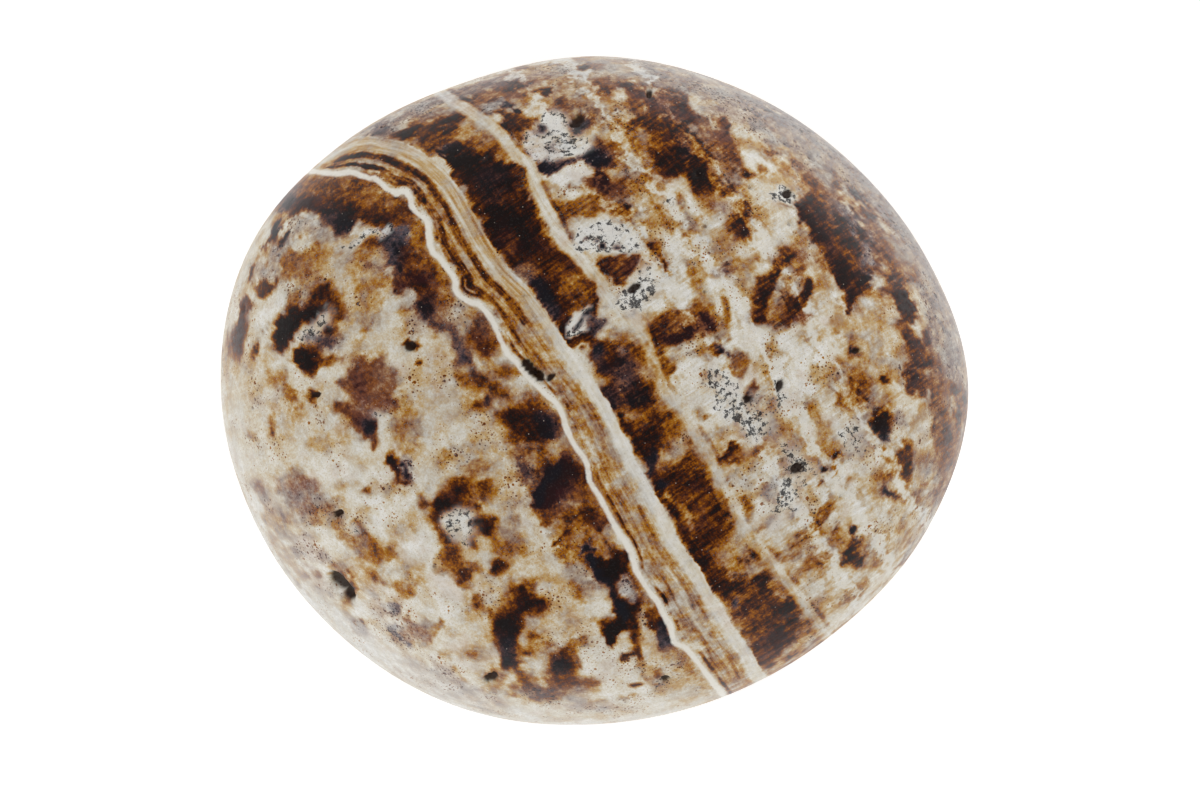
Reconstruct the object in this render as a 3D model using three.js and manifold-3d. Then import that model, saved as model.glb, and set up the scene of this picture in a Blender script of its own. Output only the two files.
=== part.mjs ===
// A river pebble of banded calcite, one solid, lying on its flattest side.
// Millimetres, +Z up. The origin is under the middle of the stone, on the surface it rests on.
// +X is the long way of the stone, and +Z looks out of its broad, banded face.

import * as THREE from 'three';
import { mergeVertices } from 'three/addons/utils/BufferGeometryUtils.js';
import Module from 'manifold-3d';

// How far the outline lies from the stone's upright axis, at the 16 compass points
// counter-clockwise from +X, as seen looking down on the broad face.
const OUTLINE_REACH = [
  25.0, 23.9, 22.9, 22.4, 22.4, 22.4, 23.6, 25.0,
  25.0, 24.3, 23.6, 23.0, 22.3, 22.2, 22.8, 24.1,
];
const CROWN_HEIGHT = 17.0; // widest level up to the top
const BELLY_DEPTH = 16.6; // widest level down to the lowest point, before the underside is worn
const WALL_FULLNESS = 2.2; // 2 is an ellipse in section, and more makes fuller shoulders

// The underside is worn level, and the wear rounds into the belly.
const UNDERSIDE_WEAR = 1.0;
const UNDERSIDE_ROUNDING = 0.35;
const UNDERSIDE_SETTLING = 0.1; // what is left of the rounding under the level patch
const WIDEST_LEVEL = BELLY_DEPTH - UNDERSIDE_WEAR; // its height over the surface it rests on

// Flatter worn faces on the shoulders: where each one looks, and how deep it is worn.
const FACE_ROUNDING = 0.35;
const WORN_FACES = [
  { compass: 44, tilt: 27, wear: 0.75 },
  { compass: 227, tilt: 25, wear: 0.6 },
  { compass: 128, tilt: 48, wear: 0.5 },
  { compass: 300, tilt: 40, wear: 0.5 },
  { compass: 10, tilt: -34, wear: 0.7 },
  { compass: 150, tilt: -38, wear: 0.8 },
  { compass: 262, tilt: -36, wear: 0.7 },
];

// Long, shallow swells left by tumbling, which leave the outline alone.
const SWELL_HEIGHT = 0.16;
const SWELL_LENGTHS = { x: 19, y: 23 };

// Solution pits that show from a step away. Each is placed by its centre on the broad face,
// with its length, width and depth, and the way its length points.
const PITS = [
  { x: -4.25, y: 1.45, length: 1.5, width: 0.75, depth: 0.8, turn: -52 },
  { x: -3.6, y: 0.95, length: 1.1, width: 0.7, depth: 0.7, turn: -50 },
  { x: -2.85, y: 0.85, length: 1.0, width: 0.5, depth: 0.5, turn: 40 },
  { x: -17.0, y: -12.7, length: 1.7, width: 1.1, depth: 0.8, turn: -40 },
  { x: -16.3, y: -13.5, length: 1.1, width: 0.9, depth: 0.9, turn: -60 },
  { x: -16.85, y: -8.1, length: 0.8, width: 0.5, depth: 0.5, turn: 35 },
  { x: -18.35, y: -0.3, length: 0.7, width: 0.5, depth: 0.4, turn: 20 },
  { x: -12.1, y: 2.9, length: 0.9, width: 0.7, depth: 0.5, turn: 0 },
  { x: -1.15, y: 17.8, length: 1.2, width: 0.7, depth: 0.5, turn: 30 },
  { x: 3.65, y: 19.7, length: 0.8, width: 0.4, depth: 0.5, turn: 80 },
  { x: 12.7, y: 13.0, length: 0.8, width: 0.6, depth: 0.5, turn: 30 },
  { x: 2.6, y: 6.7, length: 1.1, width: 0.6, depth: 0.5, turn: 30 },
  { x: 13.3, y: -5.1, length: 0.9, width: 0.7, depth: 0.5, turn: 40 },
  { x: 12.1, y: 0.3, length: 0.8, width: 0.5, depth: 0.5, turn: 70 },
  { x: 10.0, y: -0.6, length: 0.9, width: 0.6, depth: 0.5, turn: -60 },
  { x: 17.2, y: 2.6, length: 0.7, width: 0.5, depth: 0.4, turn: 10 },
  { x: -6.8, y: -19.0, length: 1.1, width: 0.6, depth: 0.5, turn: 20 },
  { x: 4.7, y: -19.1, length: 0.7, width: 0.5, depth: 0.4, turn: 15 },
];
const PIT_ROUGHNESS = 0.16; // share of a pit's size that its wall wanders

const FACE_STEPS = 26; // squares along each edge of the cube that the stone's mesh starts as

const degrees = THREE.MathUtils.degToRad;

function outlineReach(azimuth) {
  const count = OUTLINE_REACH.length;
  const place = ((azimuth / (2 * Math.PI)) * count + count) % count;
  const start = Math.floor(place);
  const share = place - start;
  const [before, from, to, after] = [-1, 0, 1, 2].map(
    (step) => OUTLINE_REACH[(start + step + count) % count],
  );
  const slopes = { from: (to - before) / 2, to: (after - from) / 2 };
  return (
    from * (2 * share ** 3 - 3 * share ** 2 + 1)
    + slopes.from * (share ** 3 - 2 * share ** 2 + share)
    + to * (3 * share ** 2 - 2 * share ** 3)
    + slopes.to * (share ** 3 - share ** 2)
  );
}

function softExcess(amount, rounding) {
  return rounding * Math.log1p(Math.exp(amount / rounding));
}

function bodyPoint(direction) {
  const level = Math.hypot(direction.x, direction.y);
  const rise = direction.z;
  const azimuth = Math.atan2(direction.y, direction.x);
  const scale = (level ** WALL_FULLNESS + Math.abs(rise) ** WALL_FULLNESS) ** (-1 / WALL_FULLNESS);
  const reach = outlineReach(azimuth) * level * scale;
  const height = (rise > 0 ? CROWN_HEIGHT : BELLY_DEPTH) * rise * scale;
  return new THREE.Vector3(reach * Math.cos(azimuth), reach * Math.sin(azimuth), height);
}

function faceNormal({ compass, tilt }) {
  const out = Math.cos(degrees(tilt));
  return new THREE.Vector3(
    out * Math.cos(degrees(compass)),
    out * Math.sin(degrees(compass)),
    Math.sin(degrees(tilt)),
  );
}

// A worn face lies its wear's depth below the furthest point of the stone that way.
function wornPlanes(directions) {
  return WORN_FACES.map((face) => {
    const normal = faceNormal(face);
    const support = Math.max(...directions.map((direction) => bodyPoint(direction).dot(normal)));
    return { normal, distance: support - face.wear };
  });
}

function stonePoint(direction, planes) {
  const point = bodyPoint(direction);
  for (const { normal, distance } of planes) {
    const excess = softExcess(point.dot(normal) - distance, FACE_ROUNDING);
    point.addScaledVector(normal, -excess);
  }
  const swell = Math.sin((2 * Math.PI * point.x) / SWELL_LENGTHS.x + 1)
    * Math.cos((2 * Math.PI * point.y) / SWELL_LENGTHS.y);
  point.z += SWELL_HEIGHT * swell * direction.z;

  const above = softExcess(point.z + WIDEST_LEVEL, UNDERSIDE_ROUNDING) - UNDERSIDE_SETTLING;
  point.z = Math.max(0, above);
  return point;
}

// A box whose faces are cut into equal angles and pushed out to the stone's surface, so that
// its squares are of like size all over.
function stoneGeometry() {
  const geometry = new THREE.BoxGeometry(2, 2, 2, FACE_STEPS, FACE_STEPS, FACE_STEPS);
  geometry.deleteAttribute('normal');
  geometry.deleteAttribute('uv');
  const stone = mergeVertices(geometry);
  const corners = stone.getAttribute('position');
  const evenAngle = (value) => Math.tan((value * Math.PI) / 4);
  const directions = Array.from({ length: corners.count }, (_, index) => {
    const corner = new THREE.Vector3().fromBufferAttribute(corners, index);
    return new THREE.Vector3(
      evenAngle(corner.x),
      evenAngle(corner.y),
      evenAngle(corner.z),
    ).normalize();
  });
  const planes = wornPlanes(directions);
  directions.forEach((direction, index) => {
    const point = stonePoint(direction, planes);
    corners.setXYZ(index, point.x, point.y, point.z);
  });
  stone.computeBoundingBox();
  const box = stone.boundingBox;
  stone.translate(-(box.min.x + box.max.x) / 2, -(box.min.y + box.max.y) / 2, -box.min.z);
  stone.computeVertexNormals();
  return stone;
}

// The mesh point above the widest level that is nearest in plan, with the way the surface
// looks there.
function surfaceAt(stone, x, y) {
  const corners = stone.getAttribute('position');
  const normals = stone.getAttribute('normal');
  let best = { distance: Infinity };
  for (let index = 0; index < corners.count; index += 1) {
    const distance = Math.hypot(corners.getX(index) - x, corners.getY(index) - y);
    if (corners.getZ(index) > WIDEST_LEVEL && distance < best.distance) {
      best = { distance, index };
    }
  }
  return {
    point: new THREE.Vector3().fromBufferAttribute(corners, best.index),
    normal: new THREE.Vector3().fromBufferAttribute(normals, best.index),
  };
}

// A pit is a rough ball, stretched and sunk with its middle on the surface.
function pitGeometry(pit, stone) {
  const geometry = new THREE.IcosahedronGeometry(1, 1);
  geometry.deleteAttribute('normal');
  geometry.deleteAttribute('uv');
  const ball = mergeVertices(geometry);
  const corners = ball.getAttribute('position');
  for (let index = 0; index < corners.count; index += 1) {
    const corner = new THREE.Vector3().fromBufferAttribute(corners, index);
    const wander = Math.sin(5 * corner.x + 3 * pit.x) + Math.cos(6 * corner.y + 2 * pit.y);
    corner.multiplyScalar(1 + (PIT_ROUGHNESS * wander) / 2);
    corners.setXYZ(index, corner.x, corner.y, corner.z);
  }
  const { point, normal } = surfaceAt(stone, pit.x, pit.y);
  const upright = new THREE.Vector3(0, 0, 1);
  const lean = new THREE.Quaternion().setFromUnitVectors(upright, normal);
  const turn = new THREE.Quaternion().setFromAxisAngle(upright, degrees(pit.turn));
  const size = new THREE.Vector3(pit.length / 2, pit.width / 2, pit.depth);
  // The nearest mesh point gives the height, and the pit keeps its own place in plan.
  const slope = -(normal.x * (pit.x - point.x) + normal.y * (pit.y - point.y)) / normal.z;
  const centre = new THREE.Vector3(pit.x, pit.y, point.z + slope);
  ball.applyMatrix4(new THREE.Matrix4().compose(centre, lean.multiply(turn), size));
  return ball;
}

function toSolid(wasm, geometry) {
  return new wasm.Manifold(new wasm.Mesh({
    numProp: 3,
    vertProperties: new Float32Array(geometry.getAttribute('position').array),
    triVerts: new Uint32Array(geometry.index.array),
  }));
}

function toGeometry(solid) {
  const { vertProperties, triVerts } = solid.getMesh();
  const geometry = new THREE.BufferGeometry();
  geometry.setAttribute('position', new THREE.BufferAttribute(vertProperties, 3));
  geometry.setIndex(new THREE.BufferAttribute(triVerts, 1));
  geometry.computeVertexNormals();
  return geometry;
}

const wasm = await Module();
wasm.setup();

const stone = stoneGeometry();
const pebble = PITS.reduce(
  (solid, pit) => solid.subtract(toSolid(wasm, pitGeometry(pit, stone))),
  toSolid(wasm, stone),
);

const banded = new THREE.MeshStandardMaterial({
  color: new THREE.Color(0.68, 0.56, 0.42),
  roughness: 0.42,
  metalness: 0,
});
const mesh = new THREE.Mesh(toGeometry(pebble), banded);
mesh.name = 'pebble';

const part = new THREE.Group();
part.add(mesh);

export default part;
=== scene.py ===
import itertools
import math

import bpy
import numpy as np
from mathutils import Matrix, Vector


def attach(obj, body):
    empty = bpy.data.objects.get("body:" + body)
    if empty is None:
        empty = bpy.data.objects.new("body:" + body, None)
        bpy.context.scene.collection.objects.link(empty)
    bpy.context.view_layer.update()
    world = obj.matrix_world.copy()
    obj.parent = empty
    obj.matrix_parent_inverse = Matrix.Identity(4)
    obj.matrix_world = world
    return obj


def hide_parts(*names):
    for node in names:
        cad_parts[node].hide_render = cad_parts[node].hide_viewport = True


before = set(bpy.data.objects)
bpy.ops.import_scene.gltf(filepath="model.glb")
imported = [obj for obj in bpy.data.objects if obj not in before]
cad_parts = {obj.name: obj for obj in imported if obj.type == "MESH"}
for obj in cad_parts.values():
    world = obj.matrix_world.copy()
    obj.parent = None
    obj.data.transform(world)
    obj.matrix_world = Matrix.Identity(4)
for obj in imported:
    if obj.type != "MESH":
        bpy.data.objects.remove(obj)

bl_info = {
    "name": "River pebble",
    "version": (1, 0, 0),
    "blender": (4, 5, 0),
    "location": "3D View > Sidebar > River pebble",
    "description": "A water-worn pebble of banded calcite on a light table",
    "category": "Add Mesh",
}

MM = 0.001  # metres in a millimetre

# The stone's shape, in millimetres, by the rule that the solid was made with.
OUTLINE_REACH = [
    25.0, 23.9, 22.9, 22.4, 22.4, 22.4, 23.6, 25.0,
    25.0, 24.3, 23.6, 23.0, 22.3, 22.2, 22.8, 24.1,
]  # from the upright axis, at 16 compass points counter-clockwise from +X
CROWN_HEIGHT = 17.0  # widest level up to the top
BELLY_DEPTH = 16.6  # widest level down to the lowest point, before the underside is worn
WALL_FULLNESS = 2.2  # 2 is an ellipse in section, and more makes fuller shoulders
UNDERSIDE_WEAR = 1.0
UNDERSIDE_ROUNDING = 0.35
UNDERSIDE_SETTLING = 0.1
WIDEST_LEVEL = BELLY_DEPTH - UNDERSIDE_WEAR
FACE_ROUNDING = 0.35
WORN_FACES = [  # compass, tilt, wear
    (44, 27, 0.75),
    (227, 25, 0.6),
    (128, 48, 0.5),
    (300, 40, 0.5),
    (10, -34, 0.7),
    (150, -38, 0.8),
    (262, -36, 0.7),
]
SWELL_HEIGHT = 0.16
SWELL_LENGTHS = (19, 23)  # along x and along y
PITS = [  # x, y, length, width, depth, turn
    (-4.25, 1.45, 1.5, 0.75, 0.8, -52),
    (-3.6, 0.95, 1.1, 0.7, 0.7, -50),
    (-2.85, 0.85, 1.0, 0.5, 0.5, 40),
    (-17.0, -12.7, 1.7, 1.1, 0.8, -40),
    (-16.3, -13.5, 1.1, 0.9, 0.9, -60),
    (-16.85, -8.1, 0.8, 0.5, 0.5, 35),
    (-18.35, -0.3, 0.7, 0.5, 0.4, 20),
    (-12.1, 2.9, 0.9, 0.7, 0.5, 0),
    (-1.15, 17.8, 1.2, 0.7, 0.5, 30),
    (3.65, 19.7, 0.8, 0.4, 0.5, 80),
    (12.7, 13.0, 0.8, 0.6, 0.5, 30),
    (2.6, 6.7, 1.1, 0.6, 0.5, 30),
    (13.3, -5.1, 0.9, 0.7, 0.5, 40),
    (12.1, 0.3, 0.8, 0.5, 0.5, 70),
    (10.0, -0.6, 0.9, 0.6, 0.5, -60),
    (17.2, 2.6, 0.7, 0.5, 0.4, 10),
    (-6.8, -19.0, 1.1, 0.6, 0.5, 20),
    (4.7, -19.1, 0.7, 0.5, 0.4, 15),
]
PINHOLE_DENSITY = 90000.0  # at most, for each square metre, before the gap thins them
PINHOLE_SEED = 7
MOST_TRIANGLES = 200000
MESH_STEPS = (160, 160, 75)  # squares along the edges of the box that the mesh starts as

# How the photograph was taken: from straight above, with a long lens.
VIEW_WIDTH = 80.32  # millimetres across the picture, at the stone's widest level
LENS = 300.0
SENSOR = 36.0
LENS_HEIGHT = VIEW_WIDTH / SENSOR * LENS  # over the widest level
VIEW_CENTRE = (0.37, -0.535)

# The light table and the low soft lights, in metres.
TABLE_HALF = 3.0
LAMPS = [  # name, compass, tilt, share of the power
    ("upper_right", 42, 24, 1.0),
    ("lower_left", 225, 22, 0.9),
]
LAMP_SIZE = 0.30
LAMP_DISTANCE = 0.45
LAMP_AIM = 0.016  # the height they look at

# The way the growth layers run on the broad face, and the way across them.
ALONG = np.array([0.556, -0.831])
ACROSS = np.array([0.831, 0.556])
LAYER_LEAN = [0.22, 0.1]  # how far the layers lean for each millimetre down through the stone
EDGE_TEAR = 0.26  # how far the edges of stained bodies wander, in millimetres
UNSEEN_LEVEL = WIDEST_LEVEL - 4  # below this height the stains are guessed

# The middle lines of the layers that stand out, read off the broad face in millimetres.
WHITE_SEAM = [
    (-19.2, 14.7), (-18.0, 14.55), (-17.0, 14.53), (-16.4, 14.65), (-16.0, 14.55), (-15.6, 14.4),
    (-15.0, 14.2), (-14.7, 14.25), (-14.4, 14.0), (-13.9, 13.5), (-13.5, 13.3), (-13.2, 13.15),
    (-12.9, 13.35), (-12.6, 13.3), (-12.3, 12.8), (-12.25, 12.4), (-12.0, 12.0), (-11.7, 11.8),
    (-11.45, 11.6), (-11.2, 11.3), (-11.1, 10.8), (-11.0, 9.7), (-10.8, 9.2), (-10.4, 8.9),
    (-10.1, 8.5), (-9.8, 8.1), (-9.5, 7.7), (-9.3, 7.3), (-9.35, 6.8), (-9.0, 6.3), (-8.3, 5.9),
    (-7.8, 5.8), (-7.5, 5.55), (-7.2, 5.2), (-6.7, 4.4), (-6.35, 3.6), (-6.0, 2.8), (-5.8, 2.4),
    (-5.2, 1.8), (-4.6, 1.1), (-3.95, 0.4), (-3.5, 0.0), (-3.1, -0.4), (-2.6, -0.8), (-2.3, -1.2),
    (-2.1, -1.7), (-2.0, -2.2), (-1.6, -3.2), (-1.3, -3.7), (-0.65, -4.6), (-0.45, -5.1),
    (-0.3, -6.1), (0.0, -6.6), (0.75, -7.85), (1.35, -9.0), (1.7, -9.7), (2.1, -10.2),
    (2.45, -10.8), (2.75, -12.0), (3.4, -13.1), (4.2, -14.1), (4.75, -15.3), (5.05, -15.7),
    (5.3, -16.8), (5.6, -17.05), (6.1, -17.2), (6.5, -17.6), (7.2, -18.6), (7.6, -19.1), (8.3, -20.0),
]
CREAM_BAND = [
    (-17.9, 15.7), (-17.0, 16.15), (-16.0, 16.55), (-15.0, 16.65), (-14.0, 16.45), (-13.0, 16.25),
    (-12.0, 15.8), (-11.0, 15.1), (-10.3, 14.5), (-9.7, 13.8), (-9.2, 13.0), (-8.3, 11.4),
    (-7.55, 10.0), (-6.2, 8.0), (-4.65, 6.5), (-3.55, 5.0), (-2.2, 3.0), (-0.75, 1.0), (0.6, -1.0),
    (1.55, -3.0), (2.5, -5.0), (3.7, -7.0), (4.7, -9.0), (5.1, -10.0), (6.65, -12.0), (7.75, -14.0),
    (9.0, -16.0), (10.4, -18.0), (10.8, -18.8),
]
SCALLOPED_RIBBON = [
    (-9.5, 19.4), (-8.2, 18.6), (-7.6, 18.2), (-7.0, 17.8), (-6.5, 17.4), (-6.1, 16.9), (-5.8, 16.4),
    (-5.3, 15.9), (-4.9, 15.5), (-4.3, 15.2), (-4.1, 14.6), (-4.0, 14.0), (-3.8, 13.4), (-3.3, 12.4),
    (-2.6, 11.2), (-2.1, 10.0), (-1.7, 9.5), (-0.9, 8.7), (-0.4, 8.2), (0.1, 7.8), (0.5, 7.4),
    (0.75, 6.2), (1.7, 5.3), (3.1, 4.3), (3.5, 3.2), (4.1, 1.2), (4.5, 0.2), (5.3, -1.0), (6.3, -2.2),
    (7.5, -4.2), (8.3, -5.8), (9.3, -7.6), (10.0, -9.4), (11.2, -10.7), (12.4, -12.3),
    (13.75, -13.9), (14.6, -15.2),
]

# Colours of the smallest marks, in red, green and blue up to 255.
SPECK_COLOUR = (58, 44, 38)
PORE_COLOUR = (70, 52, 38)
PIT_COLOUR = (36, 20, 12)
PINHOLE_COLOUR = (96, 66, 44)

# What each finish is made of: brown stain, rose tint, ink tint, chalk.
FINISHES = {
    "ivory": (0.04, 0.0, 0.0, 0.0),
    "cream": (0.14, 0.0, 0.0, 0.0),
    "straw": (0.28, 0.0, 0.0, 0.0),
    "ochre": (0.42, 0.0, 0.0, 0.0),
    "amber": (0.54, 0.0, 0.0, 0.0),
    "russet": (0.62, 0.35, 0.0, 0.0),
    "chestnut": (0.70, 0.1, 0.0, 0.0),
    "umber": (0.83, 0.1, 0.0, 0.0),
    "bistre": (0.95, 0.0, 0.1, 0.0),
    "plum": (0.74, 0.9, 0.0, 0.0),
    "rose": (0.56, 0.9, 0.0, 0.0),
    "dusk": (0.9, 0.7, 0.2, 0.0),
    "dendrite": (0.07, 0.0, 0.1, 0.6),
    # haze is a grey that lies mostly along the rims, where it stands for painted reflection.
    "haze": (0.5, 0.08, 0.85, 0.0),
    "lilac": (0.32, 0.5, 0.35, 0.0),
    "grey": (0.36, 0.0, 0.7, 0.0),
    "slate": (0.66, 0.0, 0.9, 0.0),
    "ink": (0.95, 0.1, 1.0, 0.0),
    "chalk": (0.03, 0.0, 0.1, 1.0),
}


def smooth(low, high, value):
    """0 below low, 1 above high and an even rise between them."""
    share = np.clip((value - low) / (high - low), 0, 1)
    return share * share * (3 - 2 * share)


def wander(points, size, seed):
    """Noise from -1 to 1 at points in millimetres, in lumps of about that size."""
    cells = 24
    lattice = np.random.default_rng(seed).uniform(-1, 1, (cells,) * 3)
    place = points / size + 0.37
    cell = np.floor(place).astype(int)
    share = place - cell
    share = share * share * (3 - 2 * share)
    total = np.zeros(len(points))
    for corner in itertools.product((0, 1), repeat=3):
        weight = np.prod(np.where(corner, share, 1 - share), axis=1)
        total += weight * lattice[tuple(((cell + corner) % cells).T)]
    return total


def ragged(points, size, seed):
    """The same noise with two finer sizes on it, for torn edges."""
    coarse, middle, fine = (
        wander(points, size / part, seed + step) / 2**step for step, part in enumerate((1, 2.1, 4.3))
    )
    return coarse + middle + fine


def segment_distance(points, starts, ends):
    """The distance from each point to the nearest of some straight pieces."""
    nearest = np.full(len(points), np.inf)
    for start, end in zip(starts, ends):
        run = end - start
        share = np.clip((points - start) @ run / max(run @ run, 1e-9), 0, 1)
        gap = points - start - share[:, None] * run
        nearest = np.minimum(nearest, np.einsum("ij,ij->i", gap, gap))
    return np.sqrt(nearest)


def rounded(corners, closed):
    """A line through the corners with its turns rounded, three pieces to each step."""
    corners = np.array(corners, float)
    if closed:
        before, after, far = (np.roll(corners, shift, axis=0) for shift in (1, -1, -2))
        near = corners
    else:
        ends = np.vstack([2 * corners[0] - corners[1], corners, 2 * corners[-1] - corners[-2]])
        before, near, after, far = ends[:-3], ends[1:-2], ends[2:-1], ends[3:]
    line = []
    for share in (0, 1 / 3, 2 / 3):
        line.append(
            (
                2 * near
                + (after - before) * share
                + (2 * before - 5 * near + 4 * after - far) * share**2
                + (3 * near - before - 3 * after + far) * share**3
            )
            / 2
        )
    line = np.stack(line, axis=1).reshape(-1, 2)
    return line if closed else np.vstack([line, corners[-1]])


class Body:
    """A stained body with a closed outline."""

    def __init__(self, finish, *corners, soft=0.3, cover=1.0):
        self.finish, self.soft, self.cover = finish, soft, cover
        self.line = rounded(np.reshape(corners, (-1, 2)), closed=True)
        self.low, self.high = self.line.min(axis=0), self.line.max(axis=0)

    def distance(self, points):
        ends = np.roll(self.line, -1, axis=0)
        outside = segment_distance(points, self.line, ends)
        inside = np.zeros(len(points), bool)
        for (x0, y0), (x1, y1) in zip(self.line, ends):
            if y0 != y1:
                spans = (y0 > points[:, 1]) != (y1 > points[:, 1])
                inside ^= spans & (points[:, 0] < (x1 - x0) * (points[:, 1] - y0) / (y1 - y0) + x0)
        return np.where(inside, -outside, outside)


class Spot:
    """An oval spot: its centre, its two radii and the way it is turned."""

    def __init__(self, finish, x, y, long, wide, turn=0.0, soft=0.22, cover=1.0):
        self.finish, self.soft, self.cover = finish, soft, cover
        self.centre, self.radii, self.turn = np.array([x, y]), np.array([long, wide]), math.radians(turn)
        reach = max(long, wide)
        self.low, self.high = self.centre - reach, self.centre + reach

    def distance(self, points):
        cos, sin = math.cos(self.turn), math.sin(self.turn)
        away = (points - self.centre) @ np.array([[cos, -sin], [sin, cos]])
        return (np.hypot(*(away / self.radii).T) - 1) * self.radii.min()


class Streak:
    """A stain along an open line, of one width."""

    def __init__(self, finish, width, *corners, soft=0.2, cover=1.0):
        self.finish, self.soft, self.cover, self.width = finish, soft, cover, width
        self.line = rounded(np.reshape(corners, (-1, 2)), closed=False)
        self.low, self.high = self.line.min(axis=0) - width, self.line.max(axis=0) + width

    def distance(self, points):
        return segment_distance(points, self.line[:-1], self.line[1:]) - self.width / 2


# The stains on the broad face, in the order they lie on one another.
UPPER_LEFT = [
    Body("lilac", -18, 15.9, -16, 17.2, -13, 18.6, -9.5, 20.2, -4, 21.6, -4, 20.9, -8, 19.9, -12, 18.2,
        -15, 17.1, -17, 16.2, cover=0.7),
    Spot("slate", -14.3, 17.45, 0.8, 0.35, 25),
    Streak("slate", 0.5, -8.8, 20, -6.5, 20.4, -4.3, 20.6, cover=0.6),
    Body("ochre", -12.8, 16.9, -11.5, 17.9, -9.8, 18.5, -8.6, 18.4, -7.4, 17.6, -6.4, 16.7, -5.9, 15.5,
        -7.6, 15.2, -9.2, 15.8, -10.8, 15.8, -11.8, 16.3),
    Streak("umber", 0.55, -13.3, 16.85, -12, 17.3, -11, 17.75, -10, 18.1, -9, 18.4),
    Body("chestnut", -12, 17.3, -10.6, 17.6, -9.2, 17.9, -8.8, 17.2, -9.4, 16.6, -11, 16.4, cover=0.8),
    Body("ink", -10.5, 16, -9.8, 16.7, -9.2, 16.8, -8.9, 16.3, -9.2, 15.9, -10.2, 15.7),
    Spot("amber", -6.7, 16.4, 0.55, 0.5), Spot("cream", -8.6, 16.8, 0.3, 0.25),
    Body("umber", -9.9, 15.6, -8.6, 15.9, -7.2, 15.6, -5.9, 15.3, -4.9, 14.8, -4.5, 13.8, -4, 12.6,
        -3.4, 11.4, -2.6, 10, -1.9, 9.2, -1.2, 8.4, -0.2, 7.4, 0.3, 6.2, 0.4, 4.6, -0.4, 3.4, -1.6, 3,
        -2.7, 4.6, -4, 6.4, -5.6, 8.2, -6.9, 10, -7.6, 11.4, -8.5, 13, -9.2, 14.2),
    Body("bistre", -7.6, 13.2, -6.3, 13, -5, 12, -4.3, 10.6, -4, 9.2, -4.9, 9.2, -6, 10.2, -6.9, 11.4,
        cover=0.8),
    Body("plum", -6.4, 11.6, -5.4, 11.2, -5, 9.8, -5.6, 9.2, -6.5, 10.4, cover=0.7),
    Spot("grey", -6.7, 12.8, 0.7, 0.4, cover=0.7),
    Body("ink", -7.9, 14.3, -7, 14.9, -6.1, 15.1, -5.9, 14.4, -6.4, 13.7, -7.2, 13.3, -7.8, 13.6),
    Body("russet", -5.9, 15.3, -5, 15.2, -4.6, 14.9, -4.5, 14.2, -5.2, 13, -5.6, 14),
    Streak("amber", 0.4, -4.5, 14.9, -4.4, 13.6, -3.9, 12.4, -3.3, 11, -2.6, 9.6),
    Body("grey", -5.3, 8.3, -4.4, 8.5, -3.8, 7.7, -4.2, 7.1, -5, 7.4, cover=0.6),
    Body("ink", -4, 7.1, -3.2, 7.3, -2.9, 6.3, -2.3, 5.4, -2.5, 4.6, -3.4, 5.5, cover=0.8),
    Body("ochre", -2.8, 8.2, -1.4, 8, -0.4, 7, -0.2, 5.4, -1.4, 5.2, -2.4, 6.6, cover=0.55),
]
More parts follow.
